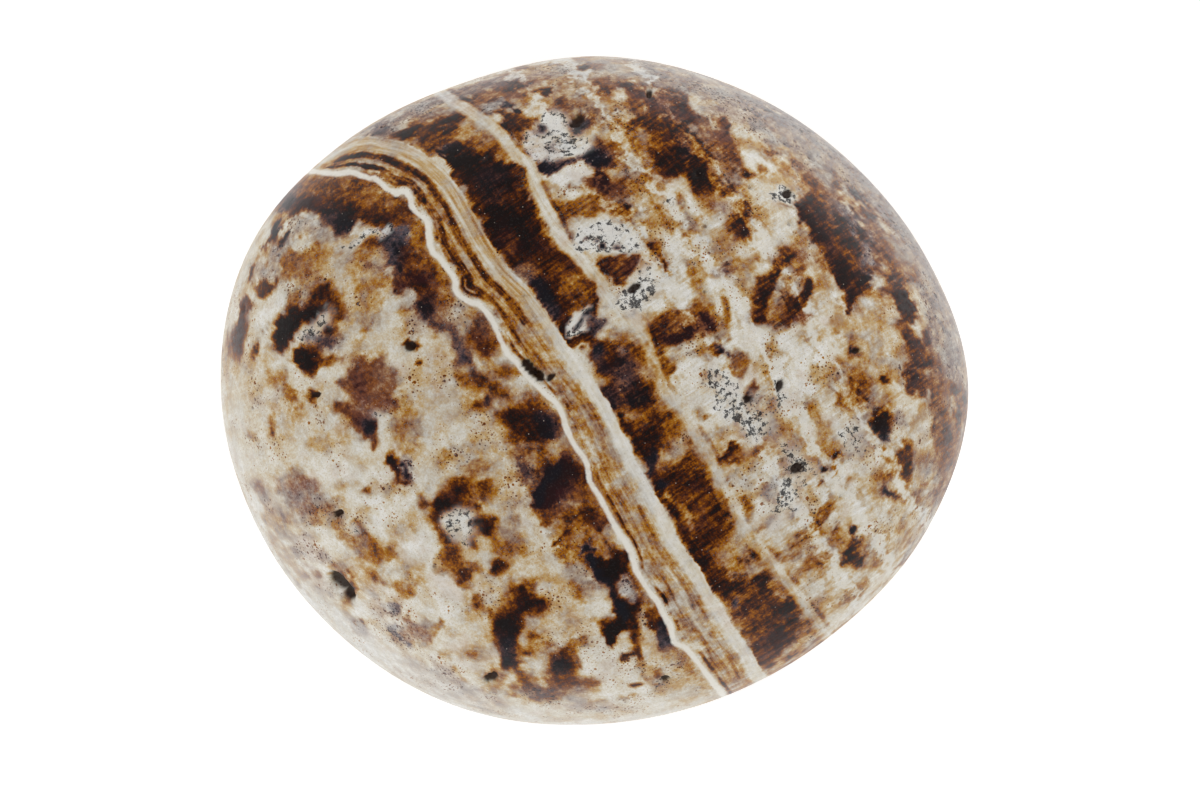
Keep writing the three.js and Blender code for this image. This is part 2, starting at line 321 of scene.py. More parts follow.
LEFT = [
    Spot("ink", -21.1, 10.8, 0.2, 0.45, -30), Spot("ink", -20.7, 10.4, 0.15, 0.35, -30),
    Spot("umber", -21.6, 9.9, 0.5, 0.12, 30), Spot("umber", -21.9, 9.2, 0.1, 0.3),
    Spot("umber", -23.1, 7.8, 0.12, 0.45, -20), Spot("umber", -22.6, 8.6, 0.08, 0.2, -30),
    Body("grey", -19.3, 10.8, -18, 11.1, -17.2, 10.4, -18, 10.1, -19, 10.3, cover=0.7),
    Body("ink", -18.4, 11.7, -17.2, 11.8, -16.2, 11.3, -16.6, 10.5, -17.1, 10.2, -17.4, 10.7, -17.9, 11),
    Body("straw", -17.5, 9.2, -15.8, 9.4, -15.2, 8.4, -15.4, 7, -16.8, 6.6, -17.6, 7.4, cover=0.6,
        soft=0.6),
    Body("amber", -21.3, 8.1, -20.6, 9.1, -19.6, 9.4, -18.6, 9.1, -18.7, 8.2, -19, 7.6, -19.8, 7.3,
        -20.8, 7.5),
    Streak("chestnut", 0.22, -18.7, 10.1, -19.2, 9.3, -19.6, 8.8),
    Streak("russet", 0.25, -18.1, 9.1, -18.9, 8.5), Streak("ochre", 0.4, -19.6, 7.4, -19, 7, -18.8, 6.2),
    Streak("ochre", 0.3, -20.4, 9.2, -19.9, 10.2, -19.2, 10.6),
    Streak("ivory", 0.16, -19.7, 9.1, -19.1, 9.9), Streak("ivory", 0.4, -18.8, 7.4, -18.2, 8, -17.7, 8.8),
    Body("chestnut", -22.5, 7.2, -21.8, 7.4, -21.2, 7.5, -21.5, 6.8, -21.7, 6.1, -22.1, 6, -22.6, 6.3),
    Body("plum", -23.5, 6.4, -23, 6.1, -22.7, 5.6, -23, 5, -23, 4.2, -23.3, 3.4, -23.5, 2.7, -24.1, 2.3,
        -24.5, 2.8, -24.3, 3.8, -24, 4.8, -23.8, 5.6),
    Streak("chestnut", 0.3, -22.7, 2.2, -22.6, 3, -22.4, 3.7, -21.8, 4.2, -21.2, 4.4),
    Body("amber", -21.7, 2.7, -21.6, 3.9, -21.2, 4.7, -20.7, 5.4, -20.5, 6.2, -19.7, 6.7, -19.1, 7.2,
        -18.3, 7.5, -17.6, 7.1, -17.2, 6.3, -16.6, 5.9, -16.5, 5.1, -16.8, 4.5, -17.6, 4.4, -18.3, 4.8,
        -18.8, 4.1, -19.6, 4, -20, 3.4, -20.5, 2.8, -21.1, 2.6),
    Body("umber", -21.5, 2.9, -21.4, 3.9, -21.1, 4.5, -20.6, 5.2, -20.1, 5.6, -19.4, 5.9, -18.9, 6.6,
        -18.2, 7.1, -17.9, 6.5, -17.4, 5.9, -17.2, 5.3, -17.5, 4.8, -18.3, 5.1, -18.8, 4.4, -19.6, 4.3,
        -20, 3.6, -20.6, 3),
    Body("bistre", -21.3, 3.2, -20.9, 4.6, -20.2, 5.1, -19.4, 5.3, -18.6, 5.4, -18.6, 4.8, -19.6, 4.4,
        -20.2, 3.5, -20.8, 3),
    Body("russet", -18.5, 6.4, -17.8, 6.2, -17.3, 5.4, -18, 5.3, -18.7, 5.7, cover=0.7),
    Spot("grey", -19.4, 6.1, 0.22, 0.5, -20), Spot("umber", -17.1, 5.2, 0.25, 0.5, -20),
    Body("chalk", -19.7, 3.9, -18.7, 4.3, -18, 5.2, -17.8, 4.8, -18.2, 4, -18.8, 3.3, -19.6, 3.4),
    Spot("ink", -19.1, 3.55, 0.2, 0.12),
    Body("umber", -20.2, 2.9, -19.6, 3.1, -19, 2.7, -18.5, 2.9, -18.2, 2.4, -18.3, 1.8, -18.5, 1.2,
        -19.1, 1, -19.7, 1.5, -20.1, 2.2),
    Body("bistre", -19.8, 2.6, -19.2, 2.6, -18.6, 1.9, -18.9, 1.3, -19.4, 1.5, cover=0.8),
    Body("grey", -18.3, 4, -17.2, 3.9, -16.9, 3, -17.4, 2.4, -18.1, 2.8),
    Spot("ink", -17.7, 3.2, 0.35, 0.2), Spot("umber", -17.6, 3.8, 0.3, 0.2),
    Spot("umber", -17.6, 1.9, 0.3, 0.15, 40),
    Body("ochre", -22.1, 1.6, -21.4, 1.3, -20.7, 1.9, -20.2, 1.2, -20.2, 0.2, -20.1, -0.7, -20.6, -0.7,
        -20.9, 0.2, -21.5, 0.4, -21.9, 0.9),
    Spot("amber", -20.4, -0.3, 0.25, 0.5), Streak("ochre", 0.3, -19.5, -0.4, -19.9, -1.2, -20, -1.7),
    Spot("umber", -18.95, -0.3, 0.2, 0.4), Spot("umber", -18.8, -1, 0.15, 0.15),
    Body("straw", -21.4, -2.2, -20.9, -1.6, -20.2, -2.2, -20.6, -3, -21, -2.8, soft=0.4),
    Spot("umber", -21.6, -3, 0.1, 0.25), Spot("ochre", -21.6, -0.9, 0.3, 0.15),
    Spot("ochre", -23.1, -3, 0.3, 0.2),
    Body("straw", -19.7, -3.4, -18.8, -3, -17.9, -3.1, -17.5, -3.7, -18, -4.2, -19, -4, soft=0.4),
    Body("straw", -17.4, -2.6, -16.6, -2.5, -16.1, -3.2, -16.4, -3.8, -17.2, -3.5, soft=0.35),
    Body("straw", -17, 0.8, -16, 1.7, -15.5, 2.5, -14.8, 2.8, -14.1, 2.3, -13.4, 1.6, -12.9, 0.9,
        -13, -0.3, -14.4, -1, -15.6, -0.9, -16.5, -0.4, cover=0.9, soft=0.35),
    Body("ochre", -16.2, 1.2, -15.4, 2.1, -14.5, 2.2, -13.7, 1.5, -13.1, 0.7, -13.1, -0.2, -14.4, -0.8,
        -15.6, -0.7, -16.4, -0.1, soft=0.3),
    Body("rose", -16.2, 0.3, -15.9, 1.2, -15.2, 1.8, -14.4, 1.8, -13.8, 1.1, -13.3, 0.4, -13.3, -0.3,
        -14.5, -0.8, -15.4, -0.7, -16, -0.3),
    Body("ochre", -18, -0.9, -17.4, -0.7, -16.7, -1, -16.9, -1.5, -17.6, -1.4),
    Body("plum", -17.2, -1, -16.5, -1, -15.8, -1.2, -15, -1.5, -14.6, -2, -14.7, -2.6, -15.1, -3.3,
        -15.6, -3.3, -16, -2.6, -16.6, -1.8, -17.3, -1.3),
    Spot("ink", -15.2, -2.5, 0.3, 0.5), Spot("chalk", -14.7, -1.5, 0.6, 0.2, -30),
    Spot("plum", -14.7, -3.5, 0.25, 0.35),
    Body("ochre", -13.7, -0.9, -12.9, -0.1, -12.2, -0.6, -11.5, -1.6, -11.4, -2.7, -12, -3.4,
        -12.3, -4.2, -13.3, -3.8, -13.7, -2.8, -13.9, -1.8, cover=0.85, soft=0.45),
    Body("amber", -12.9, -1.8, -12.2, -1.7, -11.9, -2.6, -12.4, -3.2, -12.9, -3.6, -13.1, -2.6,
        cover=0.7, soft=0.4),
    Body("amber", -14.2, -4.2, -13.5, -4, -13, -4.5, -12.7, -5.4, -12.5, -6, -12.3, -6.3, -13, -6.6,
        -13.4, -7, -13.8, -6.5, -13.4, -5.9, -13.5, -5.3, -13.9, -5),
    Streak("bistre", 0.5, -13.8, -4.5, -13.5, -5, -13.2, -5.4, -13.15, -6, -12.7, -6.3),
    Spot("grey", -12.6, -4.9, 0.5, 0.7), Spot("ink", -12.9, -4.9, 0.2, 0.12),
    Spot("ink", -12.5, -5.6, 0.15, 0.3),
    Body("rose", -21.5, -6, -20.7, -5.4, -19.9, -5.3, -19.2, -5.8, -19, -6.6, -19.4, -7.3, -20.3, -7.8,
        -20.9, -7.3, -21.3, -6.7),
    Body("ochre", -21.4, -5.6, -20.6, -4.9, -19.8, -5, -19.2, -5.6, -20.2, -5.7, cover=0.7),
    Body("ochre", -18.9, -7, -18.2, -6.6, -17.7, -6.9, -17.5, -7.7, -17.7, -8.4, -18.3, -8.2, -18.8, -7.7),
    Body("lilac", -22.8, -5.8, -22, -6.2, -21.7, -7, -21.1, -7.6, -20.9, -8.1, -21.7, -8, -22.3, -7.3,
        -22.9, -6.5),
    Spot("plum", -18.8, -8.5, 0.5, 0.35, -30, cover=0.7),
    Spot("umber", -19.4, -8.8, 0.4, 0.2, -30, cover=0.7),
    Body("lilac", -20.4, -9.4, -19.4, -9.6, -18.6, -10.3, -17.9, -11, -17.6, -11.7, -18.6, -11.5,
        -19.4, -10.9, -20.2, -10.2),
    Spot("straw", -15.6, -8.4, 0.6, 0.25, 15), Spot("straw", -13.2, -9.4, 1, 0.8),
    Spot("ochre", -12.3, -8.7, 0.2, 0.5),
    Body("russet", -17.2, -9.3, -16.5, -9.2, -16.1, -8.8, -15.6, -9.4, -15.3, -10, -15.4, -10.8,
        -15.2, -11.5, -15.7, -11.9, -16.2, -11.1, -16.9, -10.4),
    Body("umber", -16.9, -9.5, -16.2, -9.8, -15.8, -10.3, -16.3, -10.4, -16.8, -10, cover=0.7),
    Spot("chalk", -16.3, -9.35, 0.25, 0.15, -30),
    Body("amber", -15.4, -9.9, -14.8, -9.8, -14.2, -10.1, -13.7, -10.4, -13.6, -11.1, -14, -11.8,
        -14.8, -12, -15.3, -11.3, -15.5, -10.6),
    Body("chestnut", -15.2, -10.3, -14.5, -10.3, -14.1, -10.6, -14.4, -11, -15.1, -11),
    Spot("straw", -16.6, -6.4, 0.8, 0.3), Spot("umber", -15.25, -6.6, 0.12, 0.1),
]
LEFT_OF_SEAM = [
    Body("umber", -13.9, 12, -12.4, 12.2, -11.8, 11.4, -11.7, 10.2, -12, 9.2, -12.9, 9, -13.5, 10),
    Body("amber", -12.6, 11.6, -11.9, 11.5, -11.4, 10.6, -11.5, 9.7, -11.9, 9.1, -12.2, 9.6, -12.3, 10.6),
    Body("umber", -16.1, 9.7, -15.2, 10.1, -14.4, 10.2, -14, 9.6, -15, 9.4, -15.8, 9.4),
    Body("amber", -16, 9.4, -15, 9.5, -14.1, 9.5, -13.9, 8.7, -15, 8.5, -15.5, 8.9),
    Body("ink", -14.3, 10.2, -13.8, 10.9, -13.1, 11.1, -12.5, 10.7, -12.3, 10, -12.5, 9.1, -12.8, 8.2,
        -13.1, 7.6, -13.4, 8, -13.9, 8.7, -14.3, 9.5),
    Streak("chalk", 0.4, -16.9, 9.7, -16, 9.9, -15.1, 10.45, -14.3, 10.5, -13.6, 10.95),
    Body("slate", -15.3, 8.2, -14.7, 8.6, -14.2, 8.3, -14.5, 7.8, -15, 7.8),
    Body("ochre", -15.1, 7.8, -14.2, 8, -13.6, 7.2, -14.6, 6.8, -15, 7.2),
    Body("plum", -13, 9.2, -12, 9.2, -11.2, 8.7, -10.5, 8, -10, 7.2, -10.1, 6.4, -10.9, 6.6, -11.7, 7.2,
        -12.4, 7.1, -12.6, 6.6, -13.2, 6.5, -13.5, 7, -13.1, 7.8),
    Body("umber", -12.9, 9.3, -12, 9.4, -11.2, 8.8, -11.4, 8, -12.4, 8, -13, 8.4, cover=0.8),
    Streak("amber", 0.35, -11.7, 9.1, -11, 8.5, -10.4, 7.7, -9.9, 7),
    Spot("ivory", -11.8, 6.6, 0.75, 0.45), Spot("ochre", -10.7, 6.4, 0.35, 0.2, cover=0.7),
    Body("lilac", -12, 6, -11, 6.1, -9.6, 5.8, -8.4, 5.4, -7.9, 4.6, -8.4, 4, -9.6, 4.2, -10.6, 4.4,
        -11.4, 5, cover=0.7, soft=0.5),
    Streak("slate", 0.5, -12.1, 5.9, -11.3, 5.3, -10.8, 4.7, -10.1, 4.1, -9.4, 3.6, -8.9, 2.9,
        cover=0.75, soft=0.35),
    Body("slate", -9.6, 3.5, -8.9, 3.6, -8.4, 3, -8.3, 2.4, -8.4, 1.8, -9, 1.4, -9.4, 1.7, -9.2, 2.4,
        -8.9, 2.9),
    Body("ochre", -8.6, 5.6, -7.7, 5.5, -7, 4.8, -6.6, 3.8, -6.3, 2.8, -6.6, 2.1, -7, 1.7, -7.4, 2.4,
        -8.2, 2.8, -8.8, 4.4, cover=0.6),
    Body("russet", -8.2, 4.6, -7.5, 5.2, -7, 4.5, -6.7, 3.6, -6.5, 2.9, -7.1, 2.5, -7.9, 2.8, -8.4, 3.5),
    Body("umber", -8, 3.6, -7.2, 3.9, -6.8, 3.4, -6.9, 2.8, -7.8, 2.7, cover=0.7),
    Streak("ink", 0.25, -8.6, 2.2, -8.2, 1.7, -8, 1.1), Spot("ochre", -6.8, 1.9, 0.5, 0.3, 30),
    Spot("chestnut", -5.8, 1.2, 0.55, 0.35), Spot("straw", -8.6, 1.3, 0.4, 0.3),
    Body("chestnut", -9.4, 0.9, -8.6, 1, -8, 0.8, -7.4, 0.95, -6.7, 0.7, -6.1, 0.1, -5.5, -0.5, -6, -0.9,
        -6.6, -0.3, -7.2, 0.15, -8, 0.35, -9, 0.5),
    Body("ochre", -9.2, 0.5, -7.6, 0.3, -6.6, -0.4, -6.8, -1.2, -7.8, -1.4, -8.8, -1, cover=0.55),
    Spot("ink", -7, -0.8, 0.13, 0.2), Spot("umber", -7.7, -1, 0.25, 0.2),
    Spot("russet", -7.6, -1.4, 0.2, 0.08), Spot("umber", -12.1, 3.15, 0.4, 0.2),
    Body("grey", -12.7, 4.7, -11.6, 4.9, -11.2, 4.2, -12.2, 3.8, cover=0.8),
    Spot("ochre", -12.5, 4.2, 0.4, 0.3, cover=0.7), Spot("ochre", -13, 5.6, 0.2, 0.4),
    Spot("umber", -12.8, 5.2, 0.25, 0.12), Spot("ochre", -12.6, 2.3, 0.3, 0.15),
    Spot("umber", -11.8, 2, 0.12, 0.1), Spot("ochre", -10.8, 3.6, 0.25, 0.2),
    Body("amber", -6.6, -1.1, -5.6, -0.7, -4.9, -0.4, -4.2, -0.1, -3.4, -0.7, -2.8, -1.4, -2.4, -2.3,
        -2.3, -3.2, -2.6, -3.8, -3.4, -3.7, -4.2, -3.8, -5.2, -4.2, -5.7, -3.5, -6.1, -2.7, -6.5, -1.9),
    Body("umber", -6.1, -1.5, -5.4, -1, -4.6, -0.9, -3.7, -1, -3, -1.6, -2.6, -2.5, -2.6, -3.3,
        -3.2, -3.6, -4, -3.3, -4.7, -3.4, -5.3, -3.2, -5.8, -2.4),
    Body("bistre", -5.7, -1.2, -5, -1.6, -4.6, -2.6, -4.1, -3.2, -4.8, -3, -5.2, -2.3, -5.7, -1.7),
    Body("ink", -3.7, -1.6, -3, -1.8, -2.5, -2.5, -2.4, -3.2, -2.9, -3.7, -3.5, -3.3, -3.4, -2.6,
        -3.8, -2.1),
    Body("grey", -5.3, -3.9, -4.3, -3.8, -4.1, -4.8, -4.2, -5.7, -4.2, -6.5, -4.7, -6, -5.1, -5),
    Spot("ink", -4.85, -4.9, 0.2, 0.5, 15), Spot("umber", -4.5, -4.2, 0.4, 0.25),
    Body("ochre", -4.3, -4, -3.4, -4.3, -3.3, -5.2, -3.9, -6.2, -4.3, -5.4),
    Spot("ivory", -2.8, -4.5, 0.45, 0.3, -35),
    Body("dusk", -2.6, -4, -1.9, -3.8, -1.3, -4.5, -0.8, -4.9, -0.6, -5.4, -0.5, -6.2, -0.7, -6.8,
        -1.7, -7, -2.2, -7.4, -2.6, -8, -3.1, -8.3, -3.8, -8, -4, -7.4, -4, -6.6, -3.4, -6, -3.2, -5.3,
        -2.7, -4.7),
    Body("ink", -3.2, -5.3, -2.4, -4.6, -2.1, -5, -2.4, -5.8, -3, -6.2, -3.5, -6.3, cover=0.8),
    Body("ink", -3.9, -6.6, -3.4, -6.6, -3.3, -7.4, -3.7, -7.9, -4, -7.4, cover=0.8),
    Streak("russet", 0.4, -1.5, -4.7, -0.95, -5.3, -0.85, -6.1, -1, -6.6, cover=0.8),
    Body("russet", -3.8, -8, -3, -8.1, -2.2, -7.5, -1.9, -8.1, -2.3, -8.8, -3, -9.4, -3.4, -9.3,
        -3.6, -8.7),
    Spot("plum", -2.2, -8, 0.35, 0.4),
    Body("grey", -2, -7.4, -1, -7.1, -0.5, -7.3, -1.2, -7.8, -1.9, -7.8),
    Streak("ochre", 0.35, -3, -9.6, -1.9, -8.8, -1, -8.2, -0.3, -7.6),
    Streak("straw", 0.2, -2.3, -8.8, -1.4, -8.2, -0.6, -7.6),
    Body("umber", -2.7, -10.1, -1.9, -9.4, -1.3, -9, -1.3, -9.7, -1.9, -9.9),
    Body("ochre", -1.4, -9.6, -0.9, -10.2, -0.5, -10, -0.3, -9.2, -0.7, -8.8, -1.2, -8.9),
    Body("bistre", -0.7, -8.6, -0.1, -7.9, 0.4, -8.4, 0.7, -9.2, 0.3, -9.6, -0.1, -9.2),
    Body("ink", -1, -10.3, -0.3, -10.2, 0.2, -10.9, 0.3, -11.9, -0.3, -12, -0.7, -11.1),
]
LOWER_LEFT = [
    Spot("straw", -8.2, -4.4, 2.4, 1.3, 15, soft=0.7), Spot("straw", -6.3, -7.6, 1.3, 1.1, soft=0.5),
    Body("ochre", -10.4, -4.2, -9.8, -3.7, -9.4, -4.2, -9.9, -4.9),
    Body("amber", -9.1, -5, -8.2, -4.6, -7.4, -4.5, -6.8, -4.9, -7.4, -5.5, -7.8, -6, -8.6, -5.8,
        -9, -5.4),
    Body("amber", -8.9, -5.6, -7.9, -5.8, -7.1, -6.1, -6.4, -6.2, -5.8, -5.7, -6, -6.2, -6.3, -6.7,
        -6.8, -7.3, -7.6, -7.5, -8.2, -7.2, -8.5, -6.4),
    Body("umber", -10, -6.2, -9.3, -5.7, -8.8, -5.9, -8.3, -6.2, -7.6, -6, -7.1, -6.2, -7.2, -6.6,
        -8, -6.8, -8.2, -7.2, -7.8, -7.6, -8.2, -8.1, -8.9, -7.8, -9.5, -8, -9.9, -8.3, -10.2, -8.8,
        -9.9, -9.4, -9.8, -10.1, -10.3, -10.1, -10.6, -9.4, -11, -8.6, -10.9, -8, -11.4, -7.5,
        -11.5, -7.1, -10.8, -7.2, -10.2, -6.8),
    Body("bistre", -9.7, -6.6, -9, -6.2, -8.6, -6.8, -9, -7.4, -10, -7.8, -10.6, -8.4, -10.8, -7.7,
        -10.2, -7.2, cover=0.8),
    Body("russet", -8.6, -6.9, -8, -7.2, -8, -7.8, -8.7, -7.6, cover=0.8),
    Body("chalk", -10, -8.7, -9.2, -8, -8.4, -8.2, -7.9, -9, -7.9, -9.8, -8.2, -10.3, -9, -10, -9.5, -9.6),
    Spot("ochre", -9.1, -9.5, 0.2, 0.6), Spot("umber", -8, -10.3, 0.25, 0.4),
    Body("umber", -8.2, -8.7, -7.5, -8.3, -7, -8.6, -6.5, -9, -6.4, -9.8, -6.7, -10.2, -7.2, -9.9,
        -7.9, -9.3),
    Body("ochre", -6.7, -9.8, -6, -8.8, -5.3, -8.2, -5, -8.2, -5.2, -9, -4.7, -9.6, -4.5, -10.6,
        -5.2, -11.1, -6.2, -11.4, -6.8, -11, -7, -10.4),
    Streak("amber", 0.35, -6.7, -9, -6.6, -10, -6.5, -10.8), Spot("amber", -5.3, -10.7, 0.6, 0.35, 20),
    Body("chestnut", -10.1, -10.6, -9.4, -10.5, -9.2, -11.5, -9.7, -12, -10.2, -11.5),
]
TOP = [
    Body("chestnut", -6.5, 18.5, -5.6, 18.7, -4.9, 18.4, -4.3, 18.1, -3.7, 18, -4, 17.4, -4.5, 17,
        -5, 16.6, -5.4, 16.9, -5.9, 17.5, -6.3, 18),
    Body("umber", -6.2, 18.4, -5.6, 18.5, -5, 18.1, -4.9, 17.5, -5.5, 17.5, cover=0.8),
    Streak("grey", 0.3, -7.8, 18.75, -7, 19.1, -6, 19.4), Spot("ink", -5.6, 18.95, 0.35, 0.2),
    Spot("umber", -5, 20.4, 0.3, 0.08, 20), Spot("umber", -3.5, 20.2, 0.35, 0.08, 10),
    Spot("amber", -2.2, 20.85, 0.8, 0.25, cover=0.6), Spot("chestnut", -0.4, 21.7, 0.3, 0.1),
    Body("plum", -3.2, 18.7, -2.7, 19.1, -2.3, 19.4, -1.8, 19.3, -1.5, 18.9, -1.8, 18.5, -2.4, 18.3,
        -2.9, 18.5),
    Body("chalk", -4.7, 16.7, -4.2, 17.2, -3.6, 17.7, -3.2, 18.4, -2.4, 18.5, -1.9, 18.1, -1.6, 17.5,
        -1, 17.1, -0.2, 16.7, -0.3, 16.2, -1, 15.8, -2, 15.7, -3, 15.5, -3.8, 15.5, -4.3, 16.1),
    Spot("grey", -3.4, 17.4, 0.4, 0.35), Spot("grey", -2.2, 16.6, 0.9, 0.5, cover=0.7),
    Spot("ink", -3.4, 17.5, 0.15, 0.2),
    Body("ink", -1.7, 17.4, -1.4, 17.9, -0.9, 18.3, -0.5, 18.1, -0.6, 17.6, -1.2, 17.2),
    Spot("ink", -1, 19, 0.2, 0.1), Spot("umber", -0.5, 19.4, 0.5, 0.2),
    Body("ink", -3.8, 15.2, -3, 15.4, -2, 15.5, -1, 15.9, -0.2, 16.4, 0.3, 16.8, 0.9, 16.6, 1.2, 15.9,
        1.3, 15.3, 0.9, 14.9, 0.3, 15, -0.4, 15.1, -1, 15.3, -1.9, 15.1, -2.4, 14.7, -3, 14.4, -3.6, 14.6),
    Body("ivory", -2.9, 14.4, -2.2, 14.9, -1.6, 15.1, -0.8, 14.9, -0.1, 14.6, -0.6, 14.1, -1.6, 13.7,
        -1.4, 13.4, 0.2, 13.2, 2, 13.1, 3.4, 13, 3.4, 12.7, 1.6, 12.8, 0, 12.9, -1.5, 12.9, -2.4, 13,
        -3, 13.5, -3.2, 14.1),
    Body("russet", -1.9, 13.8, -1, 13.95, 0.2, 13.9, 0.2, 13.3, -0.8, 13.3, -1.6, 13.5),
    Body("dusk", -0.1, 13.9, 0.4, 14.6, 1.2, 14.6, 1.6, 14.2, 1.5, 13.4, 1, 13.1, 0.1, 13.2),
    Body("russet", 1.4, 14.6, 2.4, 14.6, 3.3, 14.3, 3.3, 13.5, 2.4, 13.1, 1.4, 13.2),
    Spot("ivory", 1.8, 14.7, 0.5, 0.18),
    Body("amber", -2.7, 12.7, -1, 12.9, 0.3, 12.8, 0.3, 11.9, -0.4, 11.4, -1.2, 11.3, -1.5, 10.6,
        -1.4, 9.9, -1.9, 10.4, -2.2, 11.3, -2.7, 12.1),
    Body("amber", -0.5, 12.9, 0.5, 12.9, 1.3, 12.7, 3, 12.5, 3.6, 12.2, 3.3, 11.7, 2.9, 11.3, 2.4, 11,
        1.8, 11.4, 0.3, 11.7, -0.5, 11.6),
    Body("chestnut", 0.8, 12.3, 1.5, 12.4, 2.4, 12.1, 2.7, 11.7, 2.4, 11.3, 1.6, 11.4, 1, 11.8),
    Spot("ivory", 2.9, 12.2, 0.3, 0.2), Spot("chestnut", 0.1, 18.4, 0.45, 0.3),
    Spot("amber", 0.5, 17.6, 0.4, 0.35),
    Body("chestnut", 0.1, 16.9, 1, 16.95, 2.2, 16.9, 2.7, 16.6, 2.6, 16.1, 2.2, 15.8, 1.6, 15.5,
        1.2, 15.2, 1, 16),
    Body("straw", 0.9, 18, 2.6, 18.1, 3.2, 17, 3.9, 15.9, 4, 14.6, 3, 14.8, 2.2, 15.6, 2.6, 16.6,
        1.6, 17.1, cover=0.8),
    Body("amber", 2.2, 15.5, 3.4, 15.4, 3.7, 14.2, 3.3, 13.6, 2.6, 13.8, cover=0.5),
    Body("plum", -0.4, 20.4, 0.2, 20.7, 0.9, 20.4, 1.6, 20.4, 2.3, 20.5, 3, 20.2, 3.8, 20, 5, 19.4,
        5.9, 19.1, 7, 18.7, 6.9, 18.2, 6, 18.2, 4.9, 18.4, 4.3, 18.5, 3.2, 19.1, 2.6, 19.4, 1.6, 19.8,
        0.7, 19.6, 0.2, 20),
    Spot("ink", 5.1, 18.7, 0.8, 0.3, -8), Spot("ivory", 1.8, 19.65, 0.55, 0.22),
    Body("amber", 1, 19.5, 2.4, 19.4, 3.2, 19.3, 3.2, 18.9, 2.2, 18.8, 1.1, 18.9),
    Body("amber", 2.4, 17.9, 2.9, 17.6, 3.1, 17.2, 3, 16.8, 3.4, 16.2, 3.7, 15.7, 3.9, 15.2, 4.1, 14.6,
        4.3, 14, 4.6, 13.7, 5.2, 14.1, 5.9, 14, 6.3, 13.6, 6.7, 13.1, 7, 12.8, 8, 12.9, 8.9, 13.1,
        9.9, 13.6, 9.1, 14, 8.2, 14.1, 8.1, 14.6, 8.4, 15.1, 8.5, 15.6, 8.1, 16, 7.4, 16.7, 6.7, 17.5,
        6.3, 17.8, 6, 18.1, 5, 18.3, 4.2, 18.4, 3.2, 18.3),
    Body("umber", 3, 17.9, 3.4, 17.4, 3.4, 16.9, 3.8, 16.2, 4.2, 15.4, 4.4, 14.7, 5.2, 14.4, 6.2, 14.3,
        6.8, 13.6, 7.6, 13.8, 7.3, 14.6, 7.2, 15.6, 6.8, 16.4, 6, 17.4, 5.4, 18, 4.2, 18.1),
    Spot("bistre", 3.7, 17.75, 0.8, 0.22), Streak("ochre", 0.14, 3.2, 17.35, 4.6, 17.4, 6.2, 17.3),
    Streak("ochre", 0.14, 3.5, 16.5, 4.6, 16.55, 5.6, 16.4),
    Body("ink", 5.6, 17.1, 6.3, 17.1, 6.6, 16.2, 6.2, 15.6, 5.8, 16.2),
    Streak("bistre", 0.5, 4.4, 14.7, 5.4, 14.8, 6.4, 14.6),
    Body("bistre", 6.3, 14.9, 7.1, 14.8, 7.2, 13.9, 6.5, 13.8),
    Body("amber", 7.1, 15.7, 8.2, 15.6, 8, 14.7, 7.2, 14.6),
    Body("umber", 6.4, 13.7, 7.6, 13.9, 9, 13.8, 8.9, 13.2, 7.6, 13, 6.8, 13.2),
    Body("amber", 7.2, 12.9, 8.2, 12.8, 8.6, 12.2, 8.5, 11.6, 8, 11.6, 7.4, 12.2),
    Spot("lilac", 8.7, 12, 0.6, 0.7),
    Body("chestnut", 9.2, 12.7, 9.9, 12.8, 10.3, 12.2, 10.4, 11.5, 10.7, 10.6, 10.2, 9.9, 9.6, 10.1,
        9.1, 10.9, 9.2, 11.7),
    Body("amber", 4.2, 13.7, 4.6, 13.6, 4.6, 12.9, 5.3, 12, 4.9, 11.8, 4.4, 12.4, 4.1, 13),
    Body("ivory", 4.6, 13.6, 5, 14, 5.8, 14, 6.4, 13.4, 6.9, 12.6, 7.5, 11.9, 7.6, 11.3, 6.8, 11.2,
        6, 11.4, 5.3, 12, 4.8, 12.7),
    Spot("ink", 5.1, 12.7, 0.2, 0.3), Spot("ink", 5, 12.2, 0.15, 0.1),
    Body("lilac", 6.8, 18.9, 7.6, 19.3, 8.6, 19.3, 9.6, 19, 10.5, 18.4, 12, 17.8, 13.4, 17, 12, 16.9,
        10.4, 17.7, 9.8, 17.8, 9, 18.2, 8.2, 18.2, 7.5, 18.5),
    Body("plum", 7.8, 18.3, 8.3, 18.1, 8.9, 18, 9.2, 17.4, 9.1, 17, 9.4, 16.4, 9.8, 15.8, 9.8, 15.2,
        9.3, 15.2, 8.9, 15.9, 8.6, 16.5, 8.3, 17, 8.1, 17.5, 7.8, 17.9),
    Spot("ivory", 7.5, 17.9, 0.7, 0.3, -30), Spot("ivory", 7.7, 16.8, 0.5, 0.4),
    Spot("ivory", 8.7, 14.9, 0.4, 1.1),
    Body("ivory", 10, 17, 11.6, 16.6, 12, 15, 10.6, 14.4, 9.9, 15.4, cover=0.7, soft=0.5),
    Spot("amber", 11.8, 15.9, 0.6, 0.35), Spot("amber", 11.2, 14.9, 0.3, 0.2),
    Spot("umber", 10.2, 14.6, 0.3, 0.12), Spot("ink", 12.6, 13.1, 0.3, 0.22),
    Spot("ink", 13, 12.8, 0.2, 0.15), Streak("russet", 0.25, 12.4, 12.6, 13.3, 12),
    Spot("ink", 6.15, 19.5, 0.08, 0.25), Spot("umber", 5.2, 20.2, 0.5, 0.12, cover=0.7),
]
